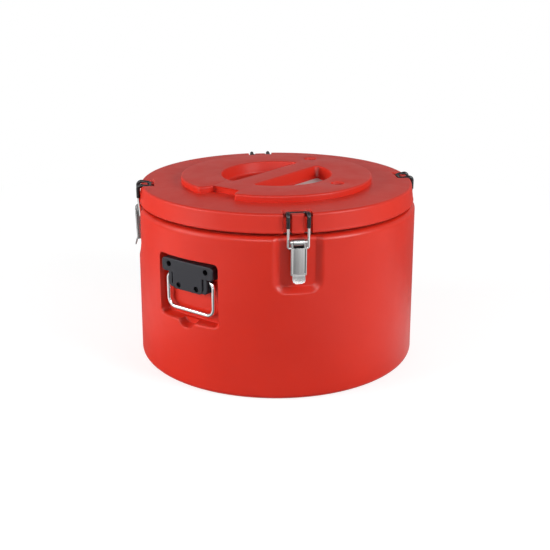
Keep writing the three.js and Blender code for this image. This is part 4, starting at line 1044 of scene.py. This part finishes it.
def handle_bracket():
    """The bar and its panel in one face, lower ears, and hubs with a trough and a slot at the bail's ends."""
    obj = stepped_block(bracket_outline, BRACKET_FACE, 1.5).to_object("bar", black_plastic, sharp=60.0)
    ears = stepped_block(low_block(EAR_HALF, low=150.6, height=30.9, corner=5), BRACKET_BACK + 7.5, 1.5)
    hubs = stepped_block(low_block(HUB_HALF, low=149.0, height=26.0, corner=6), BRACKET_BACK + 13.4, 1.2)
    for block in (ears, hubs):
        combine(obj, block.to_object("block", black_plastic), "UNION")
    for sign in (-1, 1):
        trough = Build().rod(*HANDLE_PIVOT, [
            (3.25, sign * SOCKET_END), (3.25, sign * 33.5), (4.1, sign * HUB_HALF),
            (5.4, sign * (HUB_HALF + 0.05)), (5.4, sign * 42.0),
        ], facets=40)
        combine(obj, trough.to_object("trough", black_plastic), "DIFFERENCE")
        floor, front = BRACKET_FACE - SLOT_DEPTH, BRACKET_FACE + 2
        low, top = SLOT_UP
        slot = Build().plate([(floor, low), (front, low), (front, top), (floor, top)],
                             *sorted((sign * PANEL_HALF, sign * (PANEL_HALF + SLOT_WIDTH))))
        combine(obj, slot.to_object("slot", black_plastic), "DIFFERENCE")
    for across, up, face in SCREWS.values():
        seat = Build().stud(across, up, [
            (4.1, face - 6.4), (4.1, BRACKET_FACE - 0.6), (4.25, BRACKET_FACE - 0.25),
            (4.7, BRACKET_FACE + 0.02), (5.0, BRACKET_FACE + 1.5),
        ], facets=40)
        combine(obj, seat.to_object("screw_seat", black_plastic), "DIFFERENCE")
    obj.data.set_sharp_from_angle(angle=math.radians(42))
    normals = obj.modifiers.new("normals", "WEIGHTED_NORMAL")
    normals.keep_sharp = True
    normals.weight = 100
    return obj


def handle_screw(across, up, face):
    """A flat-headed screw with a cross in its head, sunk in the bracket."""
    top = face - 3.6
    obj = Build().stud(across, up, [
        (2.1, 193.0), (2.1, top - 2.4), (3.8, top - 2.3), (3.8, top - 0.9), (3.5, top - 0.35),
        (2.9, top - 0.05), (2.0, top),
    ]).to_object("handle_screw", dark_steel)
    for angle in (20, 110):
        c, s = math.cos(math.radians(angle)), math.sin(math.radians(angle))
        rings = []
        for n, half in ((top - 1.3, 1.4), (top + 0.5, 2.0)):
            corners = [(-half, -0.4), (half, -0.4), (half, 0.4), (-half, 0.4)]
            rings.append([place(across + x * c - y * s, n, up + x * s + y * c) for x, y in corners])
        combine(obj, Build().rings(rings).to_object("drive", dark_steel), "DIFFERENCE")
    obj.data.set_sharp_from_angle(angle=math.radians(40))
    return obj


def handle_bail():
    def half_bail(side):
        return [
            place(side * 24.8, *HANDLE_PIVOT), place(side * HANDLE_HALF, *HANDLE_PIVOT),
            place(side * HANDLE_HALF, HANDLE_PIVOT[0], HANDLE_PIVOT[1] - HANDLE_DROP),
        ]

    upper, lower = HANDLE_BENDS
    path = rounded_path(half_bail(-1) + half_bail(1)[::-1], [0, upper, lower, lower, upper, 0], 16)
    return Build().tube(path, HANDLE_RADIUS, facets=28).to_object("handle_bail", chrome)


def handles():
    for side, angle in SIDES.items():
        bracket = turn(handle_bracket(), angle)
        bracket.name = f"{side}_handle_bracket_visual"
        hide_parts(f"{side}_handle_bracket")
        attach(bracket, "container")
        bail = turn(handle_bail(), angle)
        bail.name = f"{side}_handle_bail_visual"
        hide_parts(f"{side}_handle_bail")
        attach(bail, f"{side}_handle_bail")
        for name, (across, up, face) in SCREWS.items():
            screw = turn(handle_screw(across, up, face), angle)
            screw.name = f"{side}_handle_{name}_screw_visual"
            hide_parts(f"{side}_handle_{name}_screw")
            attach(screw, "container")


# Studio: a pale floor, soft light from both sides of the camera, and a white background

FLOOR_HALF = 9.0
LIGHT_AIM = (0, 0, 0.14)


def maths(tree, operation, *values):
    return add_node(tree, "ShaderNodeMath", dict(enumerate(values)), operation=operation).outputs["Value"]


def mixed(tree, factor, first, second):
    return add_node(tree, "ShaderNodeMixShader", {0: factor, 1: first, 2: second}).outputs["Shader"]


def diffuse(tree, tone):
    return add_node(tree, "ShaderNodeBsdfDiffuse", {"Color": (tone, tone, tone, 1.0)}).outputs["BSDF"]


def glow(tree, strength):
    return add_node(tree, "ShaderNodeEmission", {"Color": WHITE, "Strength": strength}).outputs["Emission"]


def backdrop(tree, strength):
    inputs = {"Color": WHITE, "Strength": strength}
    return add_node(tree, "ShaderNodeBackground", inputs).outputs["Background"]


def ray_kinds(tree):
    """Whether a ray comes from the camera, and whether it comes from there or from a reflection."""
    rays = add_node(tree, "ShaderNodeLightPath").outputs
    from_camera = rays["Is Camera Ray"]
    return from_camera, maths(tree, "MAXIMUM", from_camera, rays["Is Glossy Ray"])


def surround_tone(tree, vector, sides, behind):
    """A tone for reflections: low towards the camera's stand, high to both sides, and even behind the piece.

    The sides are given by where their slope starts and ends and by its two tones, and what is behind the
    piece by where its slope starts and ends and by its tone.
    """

    def along(direction):
        node = add_node(tree, "ShaderNodeVectorMath", {0: vector, 1: direction}, operation="DOT_PRODUCT")
        return node.outputs["Value"]

    def sloped(value, start, end, low, high):
        inputs = {"Value": value, "From Min": start, "From Max": end, "To Min": low, "To Max": high}
        return add_node(tree, "ShaderNodeMapRange", inputs, interpolation_type="SMOOTHSTEP").outputs["Result"]

    start, end, tone = behind
    across = maths(tree, "ABSOLUTE", maths(tree, "ADD", along((0.6, -0.8, 0.0)), 0.08))
    factor = sloped(along((0.8, 0.6, 0.0)), start, end, 0.0, 1.0)
    inputs = {"Factor": factor, "A": sloped(across, *sides), "B": tone}
    return add_node(tree, "ShaderNodeMix", inputs).outputs["Result"]


def floor_material():
    """A plain floor that looks otherwise when seen or mirrored.

    Seen, it is a grey that keeps the piece's shadow and fades to white. Mirrored, it has the surround's tone.
    """
    mat, tree = new_material("pale_floor")
    where = add_node(tree, "ShaderNodeTexCoord").outputs["Object"]
    distance = add_node(tree, "ShaderNodeVectorMath", {0: where}, operation="LENGTH").outputs["Value"]
    fade = add_node(tree, "ShaderNodeMapRange", {"Value": distance, "From Min": 0.4, "From Max": 1.3})
    near = add_node(tree, "ShaderNodeAddShader", {0: diffuse(tree, 0.42), 1: glow(tree, 0.72)})
    seen = mixed(tree, fade.outputs["Result"], near.outputs["Shader"], glow(tree, 1.0))
    mirrored = glow(tree, surround_tone(tree, where, sides=(0.12, 0.45, 0.16, 1.0), behind=(-0.1, 0.3, 0.2)))
    from_camera, seen_or_mirrored = ray_kinds(tree)
    either = mixed(tree, from_camera, mirrored, seen)
    surface = mixed(tree, seen_or_mirrored, diffuse(tree, 0.8), either)
    add_node(tree, "ShaderNodeOutputMaterial", {"Surface": surface})
    return mat


def studio_floor():
    corners = [(-FLOOR_HALF, -FLOOR_HALF, 0), (FLOOR_HALF, -FLOOR_HALF, 0), (FLOOR_HALF, FLOOR_HALF, 0),
               (-FLOOR_HALF, FLOOR_HALF, 0)]
    mesh = bpy.data.meshes.new("floor")
    mesh.from_pydata(corners, [], [(0, 1, 2, 3)])
    mesh.materials.append(floor_material())
    floor = bpy.data.objects.new("floor", mesh)
    bpy.context.scene.collection.objects.link(floor)


def area_light(name, location, size, power, mirrored=True, lights=True):
    """A lamp aimed at the piece. It may show only in reflections, or only light what isn't glossy."""
    data = bpy.data.lights.new(name, "AREA")
    data.shape = "RECTANGLE"
    data.size, data.size_y = size
    data.energy = power
    light = bpy.data.objects.new(name, data)
    bpy.context.scene.collection.objects.link(light)
    light.location = location
    aim = Vector(LIGHT_AIM) - Vector(location)
    light.rotation_euler = aim.to_track_quat("-Z", "Y").to_euler()
    light.visible_glossy = mirrored
    light.visible_diffuse = lights


def world_light():
    """Soft even light, a white surround for the camera, and a toned one for reflections."""
    world = bpy.data.worlds.new("studio")
    bpy.context.scene.world = world
    world.use_nodes = True
    tree = world.node_tree
    tree.nodes.clear()
    where = add_node(tree, "ShaderNodeTexCoord").outputs["Generated"]
    from_camera, seen_or_mirrored = ray_kinds(tree)
    tone = surround_tone(tree, where, sides=(0.12, 0.6, 0.16, 0.8), behind=(0.1, 0.7, 0.4))
    seen = backdrop(tree, maths(tree, "MAXIMUM", tone, from_camera))
    surface = mixed(tree, seen_or_mirrored, backdrop(tree, 0.21), seen)
    add_node(tree, "ShaderNodeOutputWorld", {"Surface": surface})


insulation()
outer_shell()
inner_liner()
lid_shell()
lid_liner()
lid_gasket()
filling_plugs()
recess_plate()
latches()
handles()
studio_floor()
area_light("left_softbox", (-1.60, 1.12, 0.70), (1.4, 0.8), 35.0, mirrored=False)
area_light("right_softbox", (0.09, -1.78, 1.05), (0.8, 0.8), 26.0)
area_light("high_strip", (-1.32, -0.76, 1.09), (1.6, 0.5), 18.0, lights=False)
area_light("left_strip", (-1.18, 0.89, 1.17), (1.2, 0.7), 11.0, lights=False)
area_light("rear_softbox", (1.5, 0.9, 0.7), (1.6, 1.0), 8.0, mirrored=False)
world_light()
bpy.context.scene.view_settings.view_transform = "Standard"
